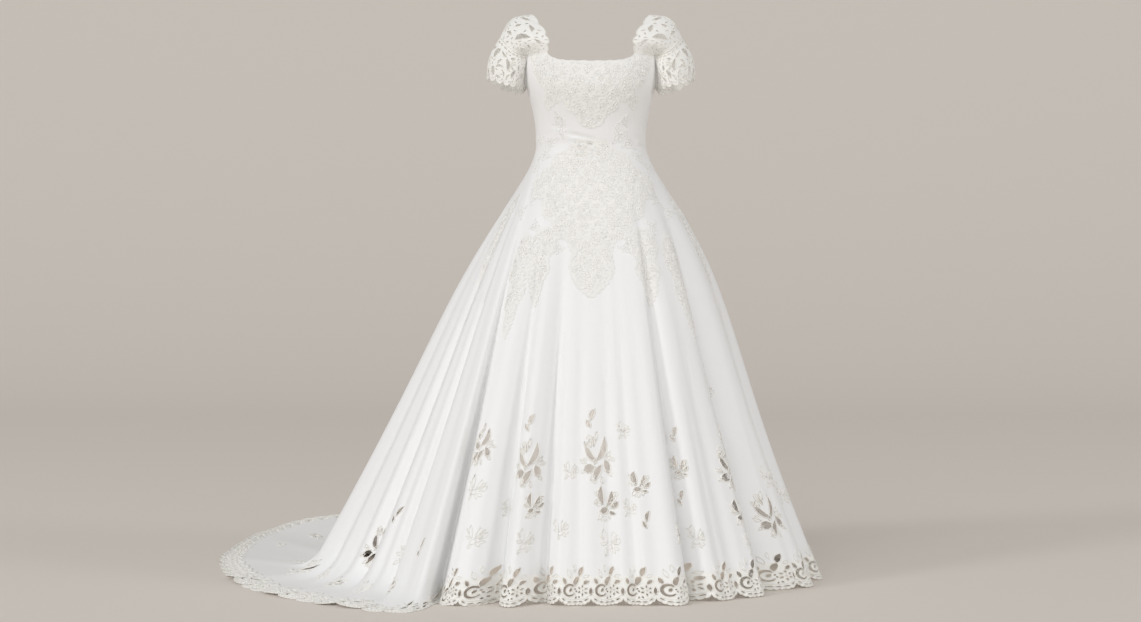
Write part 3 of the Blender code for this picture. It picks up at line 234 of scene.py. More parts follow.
# Seam between bodice and skirt, dropping to the point of the basque
BASQUE = table(
    "angle height",
    (0, 0.868), (5, 0.872), (10, 0.884), (15, 0.902), (20, 0.922), (25, 0.943), (30, 0.962), (35, 0.977),
    (40, 0.988), (45, 0.996), (50, 1.003), (58, 1.01), (65, 1.015), (75, 1.022), (90, 1.03), (100, 1.034),
    (110, 1.038), (120, 1.042), (130, 1.045), (140, 1.046), (150, 1.045), (160, 1.041), (170, 1.036),
    (180, 1.032),
)

# How far the hips stand out from a straight line between waist and floor
HIPS = table(
    "angle fullness",
    (0, 0), (45, 0.06), (90, 0.12), (180, 0.11), (240, 0.07), (270, 0.045), (315, 0.03),
)

# Plan of the skirt, a row for each meridian: its angle at the waist, where it meets
# the floor and where its hem lies. Both places are one where the skirt only hangs.
PLAN = table(
    "angle contact_x contact_y hem_x hem_y",
    (0, 0, -0.455, 0, -0.455), (18, 0.125, -0.45, 0.125, -0.45), (36, 0.245, -0.41, 0.245, -0.41),
    (50, 0.345, -0.33, 0.345, -0.33), (65, 0.44, -0.225, 0.44, -0.225), (80, 0.555, -0.085, 0.555, -0.085),
    (96, 0.602, 0.07, 0.602, 0.07), (110, 0.585, 0.23, 0.595, 0.235), (126, 0.5, 0.37, 0.57, 0.48),
    (144, 0.37, 0.48, 0.46, 0.86), (162, 0.2, 0.56, 0.27, 1.24), (180, 0.01, 0.6, 0, 1.56),
    (197, -0.18, 0.62, -0.33, 1.745), (212, -0.37, 0.6, -0.69, 1.73), (226, -0.55, 0.54, -0.93, 1.48),
    (238, -0.67, 0.44, -1.02, 1.1), (248, -0.735, 0.32, -1.045, 0.72), (256, -0.745, 0.2, -1.025, 0.39),
    (263, -0.725, 0.08, -0.96, 0.11), (269, -0.675, -0.04, -0.87, -0.13),
    (275, -0.605, -0.15, -0.755, -0.305), (281, -0.53, -0.27, -0.61, -0.445),
    (286, -0.468, -0.385, -0.48, -0.54), (290, -0.41, -0.45, -0.41, -0.545),
    (295, -0.365, -0.44, -0.365, -0.465), (301, -0.33, -0.436, -0.33, -0.436),
    (322, -0.235, -0.455, -0.235, -0.455), (341, -0.12, -0.456, -0.12, -0.456),
)

# Folds of the skirt: metres along the hem from the centre front, half width and depth
# at the hem (a valley is negative), the share of the drop where the fold starts if that
# is below the basque seam, and how far it leans along the hem. The main folds of the
# solids come first, then soft creases, streaks and small ridges.
FOLDS = table(
    "around half_width depth start lean",
    (-0.3, 0.035, 0.012), (-0.243, 0.026, -0.055), (-0.186, 0.035, 0.012), (-0.122, 0.034, -0.048),
    (-0.035, 0.03, -0.008), (0.055, 0.032, -0.012), (0.11, 0.024, -0.007), (0.205, 0.04, 0.012, 0, 0.012),
    (0.268, 0.03, -0.052, 0, -0.014), (0.345, 0.05, 0.012), (0.44, 0.045, 0.02, 0, 0.016),
    (0.525, 0.038, -0.062, 0, -0.016), (0.635, 0.05, 0.022), (0.745, 0.04, -0.03), (0.89, 0.045, -0.052),
    (1.06, 0.05, -0.046), (1.26, 0.06, -0.056), (1.5, 0.07, -0.05), (1.76, 0.075, -0.06),
    (2.03, 0.08, -0.048), (2.32, 0.08, -0.052), (-0.412, 0.03, -0.07, 0.3, -0.036), (-0.405, 0.05, -0.025),
    (-0.62, 0.04, -0.03), (-0.74, 0.045, 0.014), (-0.86, 0.05, -0.026), (-1.28, 0.08, 0.026),
    (-1.56, 0.08, -0.04), (-1.84, 0.09, -0.05), (-2.18, 0.09, -0.042), (-2.54, 0.09, -0.052),
    (-2.94, 0.1, -0.046), (-3.34, 0.1, -0.05), (-3.74, 0.1, -0.044),
    (-0.33, 0.01, 0.004, 0.2), (-0.276, 0.009, -0.004, 0.1), (-0.213, 0.01, 0.0045, 0.3),
    (-0.152, 0.012, 0.0055, 0.22), (-0.09, 0.011, 0.0045, 0.15), (-0.064, 0.009, -0.0035, 0.35),
    (-0.012, 0.01, 0.003, 0.25), (0.022, 0.008, -0.003, 0.28), (0.078, 0.01, 0.0042, 0.2),
    (0.132, 0.009, 0.0034, 0.3), (0.16, 0.01, -0.0042, 0.24), (0.232, 0.01, 0.005, 0.12),
    (0.305, 0.012, 0.005, 0.35), (0.375, 0.014, -0.0052, 0.3), (0.41, 0.01, 0.0035, 0.45),
    (0.482, 0.012, 0.005, 0.25), (0.58, 0.013, -0.005, 0.3), (0.668, 0.014, 0.0045, 0.4),
    (0.705, 0.013, -0.005, 0.25), (0.8, 0.016, 0.006, 0.2), (-0.47, 0.012, 0.004, 0.25),
    (-0.52, 0.014, -0.007, 0.12), (-0.57, 0.013, 0.006, 0.2), (-0.665, 0.014, 0.006, 0.15),
    (-0.705, 0.014, -0.007, 0.1), (-0.79, 0.016, -0.008, 0.12), (-0.825, 0.014, 0.006, 0.2),
    (-0.915, 0.018, 0.008, 0.15), (-0.98, 0.022, -0.01, 0.1), (-1.06, 0.024, 0.009, 0.2),
    (-1.15, 0.026, -0.01, 0.12), (-1.42, 0.03, -0.012, 0.15), (-1.68, 0.03, 0.011, 0.18),
    (-2.02, 0.034, 0.012, 0.12), (-2.35, 0.03, 0.01, 0.2), (-2.72, 0.034, 0.012, 0.1),
    (-3.12, 0.034, 0.011, 0.22), (-3.54, 0.034, 0.012, 0.14), (0.96, 0.02, 0.008, 0.18),
    (1.15, 0.022, 0.009, 0.1), (1.37, 0.026, 0.01, 0.22), (1.62, 0.028, 0.011, 0.14),
    (1.9, 0.03, 0.012, 0.2), (2.18, 0.03, 0.01, 0.12), (-0.243, 0.013, -0.02, 0.2),
    (-0.186, 0.012, 0.006, 0.3), (-0.122, 0.013, -0.018, 0.15), (-0.035, 0.013, -0.009, 0.1),
    (0.05, 0.012, -0.009, 0.2), (0.11, 0.012, -0.011, 0.1), (0.19, 0.012, 0.007, 0.3),
    (0.268, 0.013, -0.018, 0.15), (0.345, 0.013, -0.008, 0.45), (0.44, 0.014, 0.006, 0.5),
    (0.525, 0.014, -0.016, 0.3), (0.62, 0.014, -0.009, 0.5), (0.745, 0.016, -0.014, 0.3),
    (-0.62, 0.016, -0.014, 0.15), (-0.86, 0.018, -0.013, 0.15),
)

# Ridges of the cloth that lies on the floor
FLOOR_RIDGES = table(
    "around half_width height",
    (-0.68, 0.05, 0.014), (-0.94, 0.05, 0.012), (-1.24, 0.06, 0.022), (-1.72, 0.09, 0.012),
    (-2.27, 0.1, 0.014), (-2.77, 0.1, 0.01), (2.3, 0.09, 0.012), (1.8, 0.08, 0.012),
)

# Creases of the bodice, in degrees from the centre front and heights above the floor:
# ends, half width and depth in millimetres
BODICE_CREASES = table(
    "angle height far_angle far_height half_width depth",
    (-28, 1.14, 7, 1.119, 4.5, -5), (-18, 1.12, 4, 1.105, 4, -4), (-17, 1.078, -3, 1.074, 4, -3),
    (3, 1.084, 11, 1.07, 4, -1.8), (-44, 1.16, -18, 1.148, 6, -1.8), (-70, 1.13, -40, 1.14, 7, -1.8),
    (44, 1.132, 74, 1.124, 7, -1.8), (110, 1.15, 150, 1.136, 7, -2), (-150, 1.142, -112, 1.156, 7, -2),
    (70, 1.255, 84, 1.225, 6, -1.8), (-86, 1.228, -72, 1.258, 6, -1.8),
)

# The straps, a row for each place from the bodice's front edge over the shoulder to its
# back edge: the neck edge and the seam to the sleeve, between the two ends
STRAP = table(
    "share neck_x neck_y neck_height arm_x arm_y arm_height",
    (0.22, 0.106, -0.09, 1.378, 0.201, -0.062, 1.35), (0.38, 0.126, -0.052, 1.418, 0.226, -0.032, 1.379),
    (0.5, 0.149, 0, 1.45, 0.233, 0, 1.391), (0.62, 0.141, 0.044, 1.424, 0.226, 0.034, 1.379),
    (0.8, 0.121, 0.078, 1.365, 0.198, 0.062, 1.348),
)

# Lower edge of the sleeve, a row for each place round the arm from the front end of the
# strap over the shoulder and back under the arm
SLEEVE_HEM = table(
    "share x y height",
    (0, 0.186, -0.058, 1.252), (0.17, 0.226, -0.07, 1.262), (0.26, 0.252, -0.044, 1.273),
    (0.35, 0.266, 0, 1.281), (0.44, 0.252, 0.044, 1.273), (0.53, 0.226, 0.07, 1.26),
    (0.7, 0.186, 0.058, 1.25), (0.78, 0.178, 0.03, 1.248), (0.85, 0.176, 0, 1.248),
    (0.92, 0.178, -0.03, 1.249),
)

# Cutwork: the leaf-shaped gaps of each motif, in millimetres from its middle
LEAVES = "x y length width turn bend"
SPRAY = table(
    LEAVES,
    (-13, 13, 52, 14, 122, 0.12), (9, 24, 64, 17, 70, -0.14), (-19, -24, 29, 23, 20),
    (3, -34, 42, 17, 66, 0.08), (24, -20, 36, 17, 106, -0.06), (-24, 34, 20, 7, 60, 0.1),
    (-8, 44, 20, 7, 95, 0.05),
)
TULIP = table(
    LEAVES,
    (-8, 6, 40, 16, 96, 0.12), (10, -2, 36, 14, 66, -0.12), (-4, -26, 22, 15, 10),
    (22, -14, 24, 11, 40, -0.08), (16, -32, 18, 9, 350),
)
BUD = table(
    LEAVES,
    (2, 8, 30, 13, 72, 0.1), (-9, -14, 22, 11, 118),
)
# Corded leaves and petals with no gap in them, round the spray and round the tulip
SPRAY_CORDS = table(
    LEAVES,
    (-26, 34, 22, 7, 120, 0.1), (-17, 38, 22, 7, 104, 0.06), (-8, 40, 20, 6, 92), (27, 2, 22, 8, 30, -0.1),
    (30, 12, 18, 7, 52, -0.08), (-4, -6, 16, 9, 80), (-34, -6, 20, 8, 150, 0.1), (-32, -30, 18, 8, 210),
    (-12, -44, 20, 8, 250, 0.08), (12, -52, 18, 7, 275), (32, -36, 18, 8, 310), (0, 56, 24, 8, 85, 0.08),
)
TULIP_CORDS = table(
    LEAVES,
    (14, -16, 20, 8, 330, 0.08), (-18, -12, 18, 8, 160), (20, -2, 20, 8, 40, -0.08), (8, -36, 18, 8, 290),
    (-14, -38, 18, 8, 240), (-20, 8, 18, 7, 130),
)
ROSES = table(
    "x y radius",
    (-30, -4, 7), (40, -2, 7), (-18, 52, 8), (-6, -56, 7),
)
TULIP_ROSES = table(
    "x y radius",
    (-20, -8, 8), (-4, -44, 8), (26, 8, 7),
)

# Motifs on the skirt: metres along the hem, metres above it, size and turn in degrees
SPOTS = "around rise size turn"
SPRAYS = table(
    SPOTS,
    (0.017, 0.352, 1), (-0.182, 0.342, 0.95), (0.452, 0.318, 0.95, -4), (-0.335, 0.395, 0.8),
    (0.6, 0.19, 0.95, 6), (-0.877, 0.325, 0.95, -12), (-1.27, 0.215, 0.95, -30), (0.93, 0.33, 0.95),
    (-1.85, 0.36, 0.95), (-2.55, 0.36, 0.95), (2.05, 0.36, 0.95), (3, 0.36, 0.95),
)
TULIPS = table(
    SPOTS,
    (0.04, 0.256, 1.15), (-0.16, 0.25, 0.85), (0.135, 0.3, 0.85), (0.29, 0.335, 0.8), (0.442, 0.218, 0.9),
    (-0.94, 0.205, 0.85, -15), (-0.575, 0.205, 0.85, -8),
)
BUDS = table(
    SPOTS,
    (0.003, 0.453, 1), (-0.187, 0.446, 0.9), (0.47, 0.412, 0.9), (0.15, 0.205, 0.9), (0.292, 0.411, 0.8),
    (0.288, 0.252, 0.8), (-0.719, 0.402, 0.9, -10), (-0.505, 0.268, 0.85),
)
# Corded motifs that are only raised on the satin
RAISED = table(
    SPOTS,
    (0.046, 0.16, 0.9, 10), (-0.17, 0.165, 0.85), (-0.085, 0.19, 0.7, 20), (0.232, 0.175, 0.75, -10),
    (0.3, 0.165, 0.8), (0.452, 0.14, 0.8), (-0.325, 0.3, 0.85), (-0.3, 0.18, 0.8, 10), (-0.245, 0.24, 0.6),
    (0.105, 0.24, 0.6), (0.64, 0.3, 0.8, 5), (-0.62, 0.3, 0.8, -10), (-0.72, 0.2, 0.8, -15),
    (-1.08, 0.23, 0.8, -25), (0.78, 0.25, 0.85), (-0.06, 0.33, 0.6), (0.1, 0.43, 0.6), (0.52, 0.52, 0.6),
    (-1.52, 0.23, 0.85, -20), (1.15, 0.26, 0.85), (1.7, 0.26, 0.85), (-2.2, 0.26, 0.85), (2.4, 0.26, 0.85),
    (-2.9, 0.26, 0.85),
)

# One scallop of the border, in millimetres from its middle and from its lowest point
HEM_GAPS = table(
    LEAVES,
    (-27, 15, 12, 5, -30), (-13.5, 9, 12, 5, -8), (0, 8, 12, 5), (13.5, 9, 12, 5, 8), (27, 15, 12, 5, 30),
    (-11, 37, 12, 8, 60), (38, 34, 20, 10, 90), (27, 55, 18, 10, 30, 0.08), (3, 57, 27, 14, 62, 0.08),
    (-26, 58, 18, 10, 115), (18, 36, 4, 4),
)
HEM_FLOWER = ((18.0, 36.0), 9.5, 6, 9.0, 5.6, 30.0)      # ring of gaps: see ring_gaps
HEM_SCROLL = ((-13.0, 36.0), 13.0, 40, 325, 9.5, 6.5, 11)        # C-shaped gap: see scroll_gap
SPRIG = table(
    LEAVES,
    (14, 80, 27, 12, 66, 0.06),
)
HEM_CORDS = table(
    LEAVES,
    (-16, 76, 22, 8, 110), (26, 70, 16, 7, 20), (-4, 88, 18, 7, 95),
)

# Lace laid on the satin. The bust lace and the basque lace are given by the degrees
# round the body and the height of their outline on one side, from its edge to the
# centre front, the drops by their place on the skirt.
BUST_LACE = table(
    "angle height",
    (60, 1.338), (55, 1.292), (50, 1.262), (41, 1.245), (49, 1.216), (45, 1.196), (35, 1.212), (25, 1.222),
    (22, 1.196), (13, 1.185), (9, 1.16), (0, 1.15),
)
BASQUE_LACE_TOP = table(
    "angle height",
    (65, 1.015), (55, 1.04), (44, 1.052), (37, 1.085), (25, 1.092), (14, 1.12), (0, 1.126),
)
BASQUE_LACE_LOW = table(
    "angle height",
    (65, 1.015), (58, 0.975), (47, 0.972), (41, 0.925), (32, 0.915), (27, 0.872), (18, 0.868), (13, 0.835),
    (15, 0.792), (9, 0.752), (0, 0.722),
)
LACE_DROPS = table(
    "angle top bottom width",
    (322, 0.895, 0.7, 70), (38, 0.895, 0.7, 70), (302, 0.88, 0.62, 55), (58, 0.88, 0.62, 55),
    (276, 0.98, 0.76, 60), (84, 0.98, 0.76, 60), (150, 0.98, 0.74, 70), (210, 0.98, 0.74, 70),
)
# Corded sprigs that lie on the satin round the laid lace: degrees from the centre front,
# height above the floor and size, and their leaves in millimetres
BODICE_SPRIGS = table(
    "angle height size",
    (28, 1.132, 1), (-30, 1.15, 1), (42, 1.112, 0.9), (-44, 1.118, 0.9), (34, 1.17, 0.7), (-33, 1.176, 0.7),
    (54, 1.08, 0.9), (-55, 1.084, 0.9), (66, 1.05, 0.8), (-67, 1.052, 0.8), (62, 1.12, 0.6),
    (-63, 1.126, 0.6), (60, 0.975, 0.9), (-60, 0.978, 0.9), (24, 0.845, 0.8), (-25, 0.842, 0.8),
    (48, 0.9, 0.8), (-48, 0.9, 0.8), (70, 0.94, 0.8), (-70, 0.94, 0.8),
)
SPRIG_LEAVES = table(
    LEAVES,
    (18, 6, 16, 7, 20, 0.08), (-6, 19, 15, 7, 110), (-12, -15, 15, 7, 230, 0.08),
)

# Gaps of the lace that is seen through, in millimetres on the flat cloth: across from
# the neck edge and along from the front for a strap, round from the shoulder and down
# for a sleeve half. The petals are slimmer and stand between the larger leaves.
STRAP_GAPS = table(
    LEAVES,
    (48, 60, 34, 13, 20, 0.12), (42, 120, 38, 14, -10, 0.12), (48, 180, 34, 13, 160, 0.12),
)
STRAP_PETALS = table(
    LEAVES,
    (22, 40, 18, 8, 60, 0.08), (22, 78, 20, 8, 100, 0.08), (20, 104, 16, 7, 40), (64, 88, 18, 7, 80, 0.08),
    (66, 132, 18, 7, 100), (22, 140, 20, 8, 70, 0.08), (20, 168, 18, 8, 120, 0.08), (22, 204, 18, 8, 60),
    (64, 30, 16, 7, 60), (66, 210, 16, 7, 120), (40, 92, 14, 7), (44, 148, 14, 7), (46, 30, 15, 7, 100),
    (44, 208, 15, 7, 80),
)
SLEEVE_GAPS = table(
    LEAVES,
    (34, -30, 30, 13, 60, 0.12), (72, -42, 32, 14, 110, -0.12), (36, -72, 24, 12, 100, 0.1),
    (100, -62, 28, 12, 70, 0.1),
    (52, -58, 22, 5, 20, 0.2), (50, -46, 20, 5, 60, 0.18), (64, -70, 20, 5, 300, 0.18),
    (84, -74, 20, 5, 60, 0.18), (92, -44, 18, 5, 140, 0.15), (18, -50, 18, 5, 110, 0.18),
    (18, -78, 17, 8, 80), (52, -82, 14, 7), (112, -40, 17, 8, 100), (118, -74, 17, 8, 60),
    (16, -22, 16, 7, 30), (56, -22, 18, 7, 160, 0.08), (86, -20, 16, 7, 20),
)


def smooth(at, knots, values, period=None):
    """Cubic curve through the table's values; it closes on itself with a period."""
    at = np.asarray(at, float)
    if period:
        at = knots[0] + np.mod(at - knots[0], period)
        knots = np.concatenate([knots[-2:] - period, knots, knots[:2] + period])
        values = np.concatenate([values[-2:], values, values[:2]])
    gaps = np.diff(knots)
    steps = np.diff(values) / gaps
    inner = (steps[:-1] * gaps[1:] + steps[1:] * gaps[:-1]) / (gaps[:-1] + gaps[1:])
    slopes = np.concatenate([steps[:1], inner, steps[-1:]])
    left = np.clip(np.searchsorted(knots, at, side="right") - 1, 0, len(gaps) - 1)
    part = np.clip((at - knots[left]) / gaps[left], 0.0, 1.0)
    rest = 1.0 - part
    return (values[left] * rest ** 2 * (1 + 2 * part)
            + values[left + 1] * part ** 2 * (1 + 2 * rest)
            + gaps[left] * part * rest * (slopes[left] * rest - slopes[left + 1] * part))


def unit(vectors):
    """Vectors made one metre long."""
    return vectors / np.maximum(np.linalg.norm(vectors, axis=-1, keepdims=True), TINY)


def rows_of(rows):
    """The rows of a table one after another."""
    return zip(*rows.values())


def pairs(x, y):
    """Points from their two coordinates; one number stands for all its points."""
    return np.stack(np.broadcast_arrays(x, y), axis=-1)


def place(x, y, height):
    """Points in the part's own frame."""
    return np.stack([x, y, height - SHOULDER_HEIGHT], axis=-1)


def from_front(angle):
    """The angle from the centre front, above -180 and up to 180 degrees."""
    return 180.0 - np.mod(180.0 - np.asarray(angle, float), 360.0)


HEM_STEPS = np.hypot(np.diff(PLAN["hem_x"], append=PLAN["hem_x"][0]),
                     np.diff(PLAN["hem_y"], append=PLAN["hem_y"][0]))
HEM_LENGTH = HEM_STEPS.sum()
HEM_KNOTS = np.concatenate([[0.0], np.cumsum(HEM_STEPS)[:-1]])
DEGREES_PER_METRE = 360.0 / HEM_LENGTH
SCALLOP_WIDTH = HEM_LENGTH / round(HEM_LENGTH / SCALLOP_PITCH)


def plan(around, column):
    """One column of the plan at a place along the hem."""
    return smooth(around, HEM_KNOTS, PLAN[column], HEM_LENGTH)


def waist_angle(around):
    """Angle at the waist of the meridian that ends at this place along the hem."""
    spare = PLAN["angle"] - DEGREES_PER_METRE * HEM_KNOTS
    return smooth(around, HEM_KNOTS, spare, HEM_LENGTH) + DEGREES_PER_METRE * around


AROUND_STEPS = np.linspace(-HEM_LENGTH, HEM_LENGTH, 20001)
ANGLE_STEPS = waist_angle(AROUND_STEPS)


def hem_place(angle):
    """Place along the hem of the meridian with this angle at the waist."""
    return np.interp(angle, ANGLE_STEPS, AROUND_STEPS)


def section(angle, height):
    """Plan of the fitted bodice at a height: a squared ellipse."""
    half_width, front, back, square = (
        smooth(height, SECTIONS["height"], SECTIONS[name])
        for name in ("half_width", "front", "back", "squareness"))
    sine = np.sin(np.radians(angle))
    cosine = np.cos(np.radians(angle))
    deep = np.where(cosine > 0, front, back)
    return (half_width * np.sign(sine) * np.abs(sine) ** (1 - square),
            -deep * np.sign(cosine) * np.abs(cosine) ** (1 - square))


def flare(angle, drop):
    """Share of the way out from waist to hem at a share of the drop."""
    scale = math.hypot(1.0, WAIST_EASE) - WAIST_EASE
    straight = (np.sqrt(drop ** 2 + WAIST_EASE ** 2) - WAIST_EASE) / scale
    swell = (np.maximum(drop, 0.0) / HIP_PEAK) ** 1.5
    full = smooth(angle, HIPS["angle"], HIPS["fullness"], 360.0)
    return straight + full * swell * np.exp(1.0 - swell)


def drop_share(height):
    """Share of the drop from waist to hem at a height."""
    return (WAIST_HEIGHT - height) / (WAIST_HEIGHT - HEM_HEIGHT)


def hump(around, spot, half_width):
    """Height of a soft hump of one metre at a spot along the hem."""
    apart = (around - spot + HEM_LENGTH / 2) % HEM_LENGTH - HEM_LENGTH / 2
    return np.exp(-(apart / half_width) ** 2)


def bodice_point(angle, height):
    """Point of the bodice, which follows the skirt's flare below the waist."""
    x, y = section(angle, np.maximum(height, WAIST_HEIGHT))
    around = hem_place(angle)
    out = flare(angle, np.maximum(drop_share(height), 0.0))
    x = x + (plan(around, "contact_x") - x) * out
    y = y + (plan(around, "contact_y") - y) * out
    return place(x, y, height)


def meridian(around):
    """Angle, waist point, reach to the floor and cloth lengths of a skirt meridian."""
    angle = waist_angle(around)
    waist = np.array(section(angle, WAIST_HEIGHT))
    contact = np.array([plan(around, "contact_x"), plan(around, "contact_y")])
    reach = contact - waist
    lying_way = np.array([plan(around, "hem_x"), plan(around, "hem_y")]) - contact
    hanging = np.sqrt(reach[0] ** 2 + reach[1] ** 2 + (WAIST_HEIGHT - HEM_HEIGHT) ** 2)
    return angle, waist, reach, lying_way, hanging, np.hypot(*lying_way)


def basque_height(angle):
    """Height of the seam between bodice and skirt."""
    return smooth(np.abs(from_front(angle)), BASQUE["angle"], BASQUE["height"])


def top_height(angle):
    """Height of the bodice's upper edge."""
    return smooth(np.abs(from_front(angle)), TOP_EDGE["angle"], TOP_EDGE["height"])


def seam_rise(around):
    """Cloth length from the hem up to the basque seam."""
    angle, _, _, _, hanging, lying = meridian(around)
    return lying + hanging * (1.0 - drop_share(basque_height(angle)))


def angle_rise(angle, height):
    """Place along the hem and cloth height of a point given on the body."""
    around = hem_place(angle)
    *_, hanging, lying = meridian(around)
    return pairs(around, lying + hanging * (1 - drop_share(height)))


def skirt_point(around, rise):
    """Point of the skirt: metres along the hem and metres of cloth above the hem."""
    angle, waist, reach, lying_way, hanging, lying = meridian(around)
    down = hanging + lying - rise
    bend = np.clip(BEND_SHARE * lying, LEAST_LENGTH, FLOOR_BEND)
    over = down - hanging
    past = np.clip(over + bend, 0.0, 2 * bend) ** 2 / (4 * bend)
    past = np.where(over > bend, over, past)
    drop = (down - past) / hanging
    x, y = waist + reach * flare(angle, drop) + lying_way * (past / np.maximum(lying, LEAST_LENGTH))
    out_x, out_y = reach / np.hypot(*reach)
    seam = drop_share(basque_height(angle))
    depth = np.zeros_like(drop)
    lean = np.zeros_like(drop)
    for spot, half_width, deep, start, aside in rows_of(FOLDS):
        begin = np.maximum(start, seam)
        grown = np.clip((drop - begin) / (1.0 - begin), 0.0, 1.0) ** FOLD_GROWTH
        grown = grown * hump(around, spot, half_width) * np.exp(-(past / FOLD_FADE) ** 2)
        depth = depth + deep * grown
        lean = lean + aside * grown
    ridge = sum(high * hump(around, spot, half_width)
                for spot, half_width, high in rows_of(FLOOR_RIDGES))
    ridge = ridge * past / (past + RIDGE_RISE) * np.exp(-past / RIDGE_FADE)
    x = x + depth * out_x - lean * out_y
    y = y + depth * out_y + lean * out_x
    return place(x, y, WAIST_HEIGHT - (WAIST_HEIGHT - HEM_HEIGHT) * drop + ridge)


def creased_bodice(angle, height):
    """Point of the bodice with its soft creases."""
    side = bodice_point(angle + 0.5, height) - bodice_point(angle - 0.5, height)
    up = bodice_point(angle, height + 0.002) - bodice_point(angle, height - 0.002)
    move = np.zeros(angle.shape)
    for near_angle, low, far_angle, high, half, deep in rows_of(BODICE_CREASES):
        way = np.array([(far_angle - near_angle) * BODICE_SCALE, high - low])
        length = np.hypot(*way)
        way = way / length
        x = (angle - near_angle) * BODICE_SCALE
        y = height - low
        along = (x * way[0] + y * way[1]) / length
        across = (x * way[1] - y * way[0]) * 1000 / half
        fade = np.sin(np.pi * np.clip(along, 0, 1)) ** 1.2
        valley = np.exp(-across ** 2) - CREASE_RIDGE * np.exp(-(across - 2) ** 2)
        move = move + deep / 1000 * fade * valley
    return bodice_point(angle, height) + unit(np.cross(side, up)) * move[..., None]


def strap_edges(share):
    """Neck edge and sleeve seam of the wearer's left strap."""
    angles = np.array(STRAP_ENDS)
    front, back = bodice_point(angles, top_height(angles))
    knots = np.concatenate([[0.0], STRAP["share"], [1.0]])
    curves = []
    for side, name in enumerate(("neck", "arm")):
        middle = place(*[STRAP[name + axis] for axis in ("_x", "_y", "_height")])
        held = np.concatenate([front[side:side + 1], middle, back[side:side + 1]])
        curves.append(np.stack([smooth(share, knots, column) for column in held.T], axis=-1))
    return curves


def strap_point(across, share):
    """Point of the wearer's left strap: across from the neck to the sleeve, over the shoulder."""
    wide = across[..., None]
    neck, arm = strap_edges(share)
    ends = 0.0
    for end, (neck_angle, arm_angle), weight in zip((0.0, 1.0), STRAP_ENDS, (1 - share, share)):
        angles = neck_angle + (arm_angle - neck_angle) * across
        neck_end, arm_end = strap_edges(np.full_like(share, end))
        missed = bodice_point(angles, top_height(angles)) - neck_end - (arm_end - neck_end) * wide
        ends = ends + missed * weight[..., None] ** 3
    crown = STRAP_CROWN * np.sin(np.pi * across) * np.sin(np.pi * share) ** 0.7
    outward = np.stack([np.full_like(share, CROWN_ASIDE), -CROWN_AHEAD * np.cos(np.pi * share),
                        np.full_like(share, CROWN_UP)], axis=-1)
    return neck + (arm - neck) * wide + ends + outward * crown[..., None]


def sleeve_ring(share):
    """Upper edge of the sleeve: the strap's arm edge, then the armhole under the arm."""
    share = np.mod(share, 1.0)
    along = np.clip(share / STRAP_SHARE, 0.0, 1.0)
    _, over = strap_edges(along)
    under = np.clip((share - STRAP_SHARE) / (1 - STRAP_SHARE), 0.0, 1.0)
    angle = ARMHOLE_BACK + (ARMHOLE_FRONT - ARMHOLE_BACK) * under
    beneath = bodice_point(angle, top_height(angle))
    ring = np.where((share < STRAP_SHARE)[..., None], over, beneath)
    end = np.clip(1 - 2 * STRAP_ROWS * np.minimum(along, 1 - along), 0.0, 1.0)
    ring[..., 0] += end * SLEEVE_CLEAR * (0.3 + 0.7 * np.sin(np.pi * under))
    return ring


def sleeve_point(share, down):
    """Point of the wearer's left sleeve: round the arm, and from its seam to its hem."""
    down = down[..., None]
    top = sleeve_ring(share)
    low = place(*[smooth(share, SLEEVE_HEM["share"], SLEEVE_HEM[name], 1.0)
                  for name in ("x", "y", "height")])
    away = (top + low) / 2 - (ARM_CENTRE, 0.0, 0.0)
    away[..., 2] = 0.0
    away = unit(away)
    swell = SLEEVE_SWELL * (SLEEVE_SWELL_UNDER + np.clip(away[..., :1], 0.0, 1.0))
    return top + (low - top) * down + away * swell * np.sin(np.pi * down)


def sleeve_flat(x, y):
    """Point of the wearer's left sleeve, from flat cloth sizes."""
    return sleeve_point(x / SLEEVE_ROUND, -y / SLEEVE_LENGTH)


def strap_flat(x, y):
    """Point of the wearer's left strap, from flat cloth sizes."""
    return strap_point(x / STRAP_WIDTH, np.clip(y / STRAP_LENGTH, 0.0, 1.0))


def body_flat(x, height):
    """Point of the dress, bodice or skirt, from flat cloth sizes of the bodice."""
    angle = x / BODICE_SCALE
    on_skirt = skirt_point(*angle_rise(angle, height).T)
    on_bodice = creased_bodice(angle, height)
    return np.where((height < basque_height(angle))[..., None], on_skirt, on_bodice)


SURFACES = {"skirt": skirt_point, "body": body_flat, "sleeve": sleeve_flat, "strap": strap_flat}


def stretch(surface, x, y):
    """How much wider the cloth is than its flat pattern at one place."""
    one, two = SURFACES[surface](np.array([x + PROBE, x - PROBE]), np.array([y, y]))
    return float(np.linalg.norm(one - two) / (2 * PROBE))


def leaf(centre, length, width, turn, bend=0.0, side_points=2):
    """Outline of a leaf-shaped gap: turn in degrees, bend as a share of its length."""
    steps = np.linspace(-1.0, 1.0, side_points + 2)[1:-1]
    spine = np.concatenate([[-1.0], steps, [1.0], steps[::-1]])
    sign = np.concatenate([[0.0], np.ones(side_points), [0.0], -np.ones(side_points)])
    along = spine * length / 2
    aside = sign * width / 2 * (1 - spine ** 2) ** 0.6 + bend * length * (1 - spine ** 2)
    cosine = math.cos(math.radians(turn))
    sine = math.sin(math.radians(turn))
    return pairs(centre[0] + along * cosine - aside * sine,
                 centre[1] + along * sine + aside * cosine)


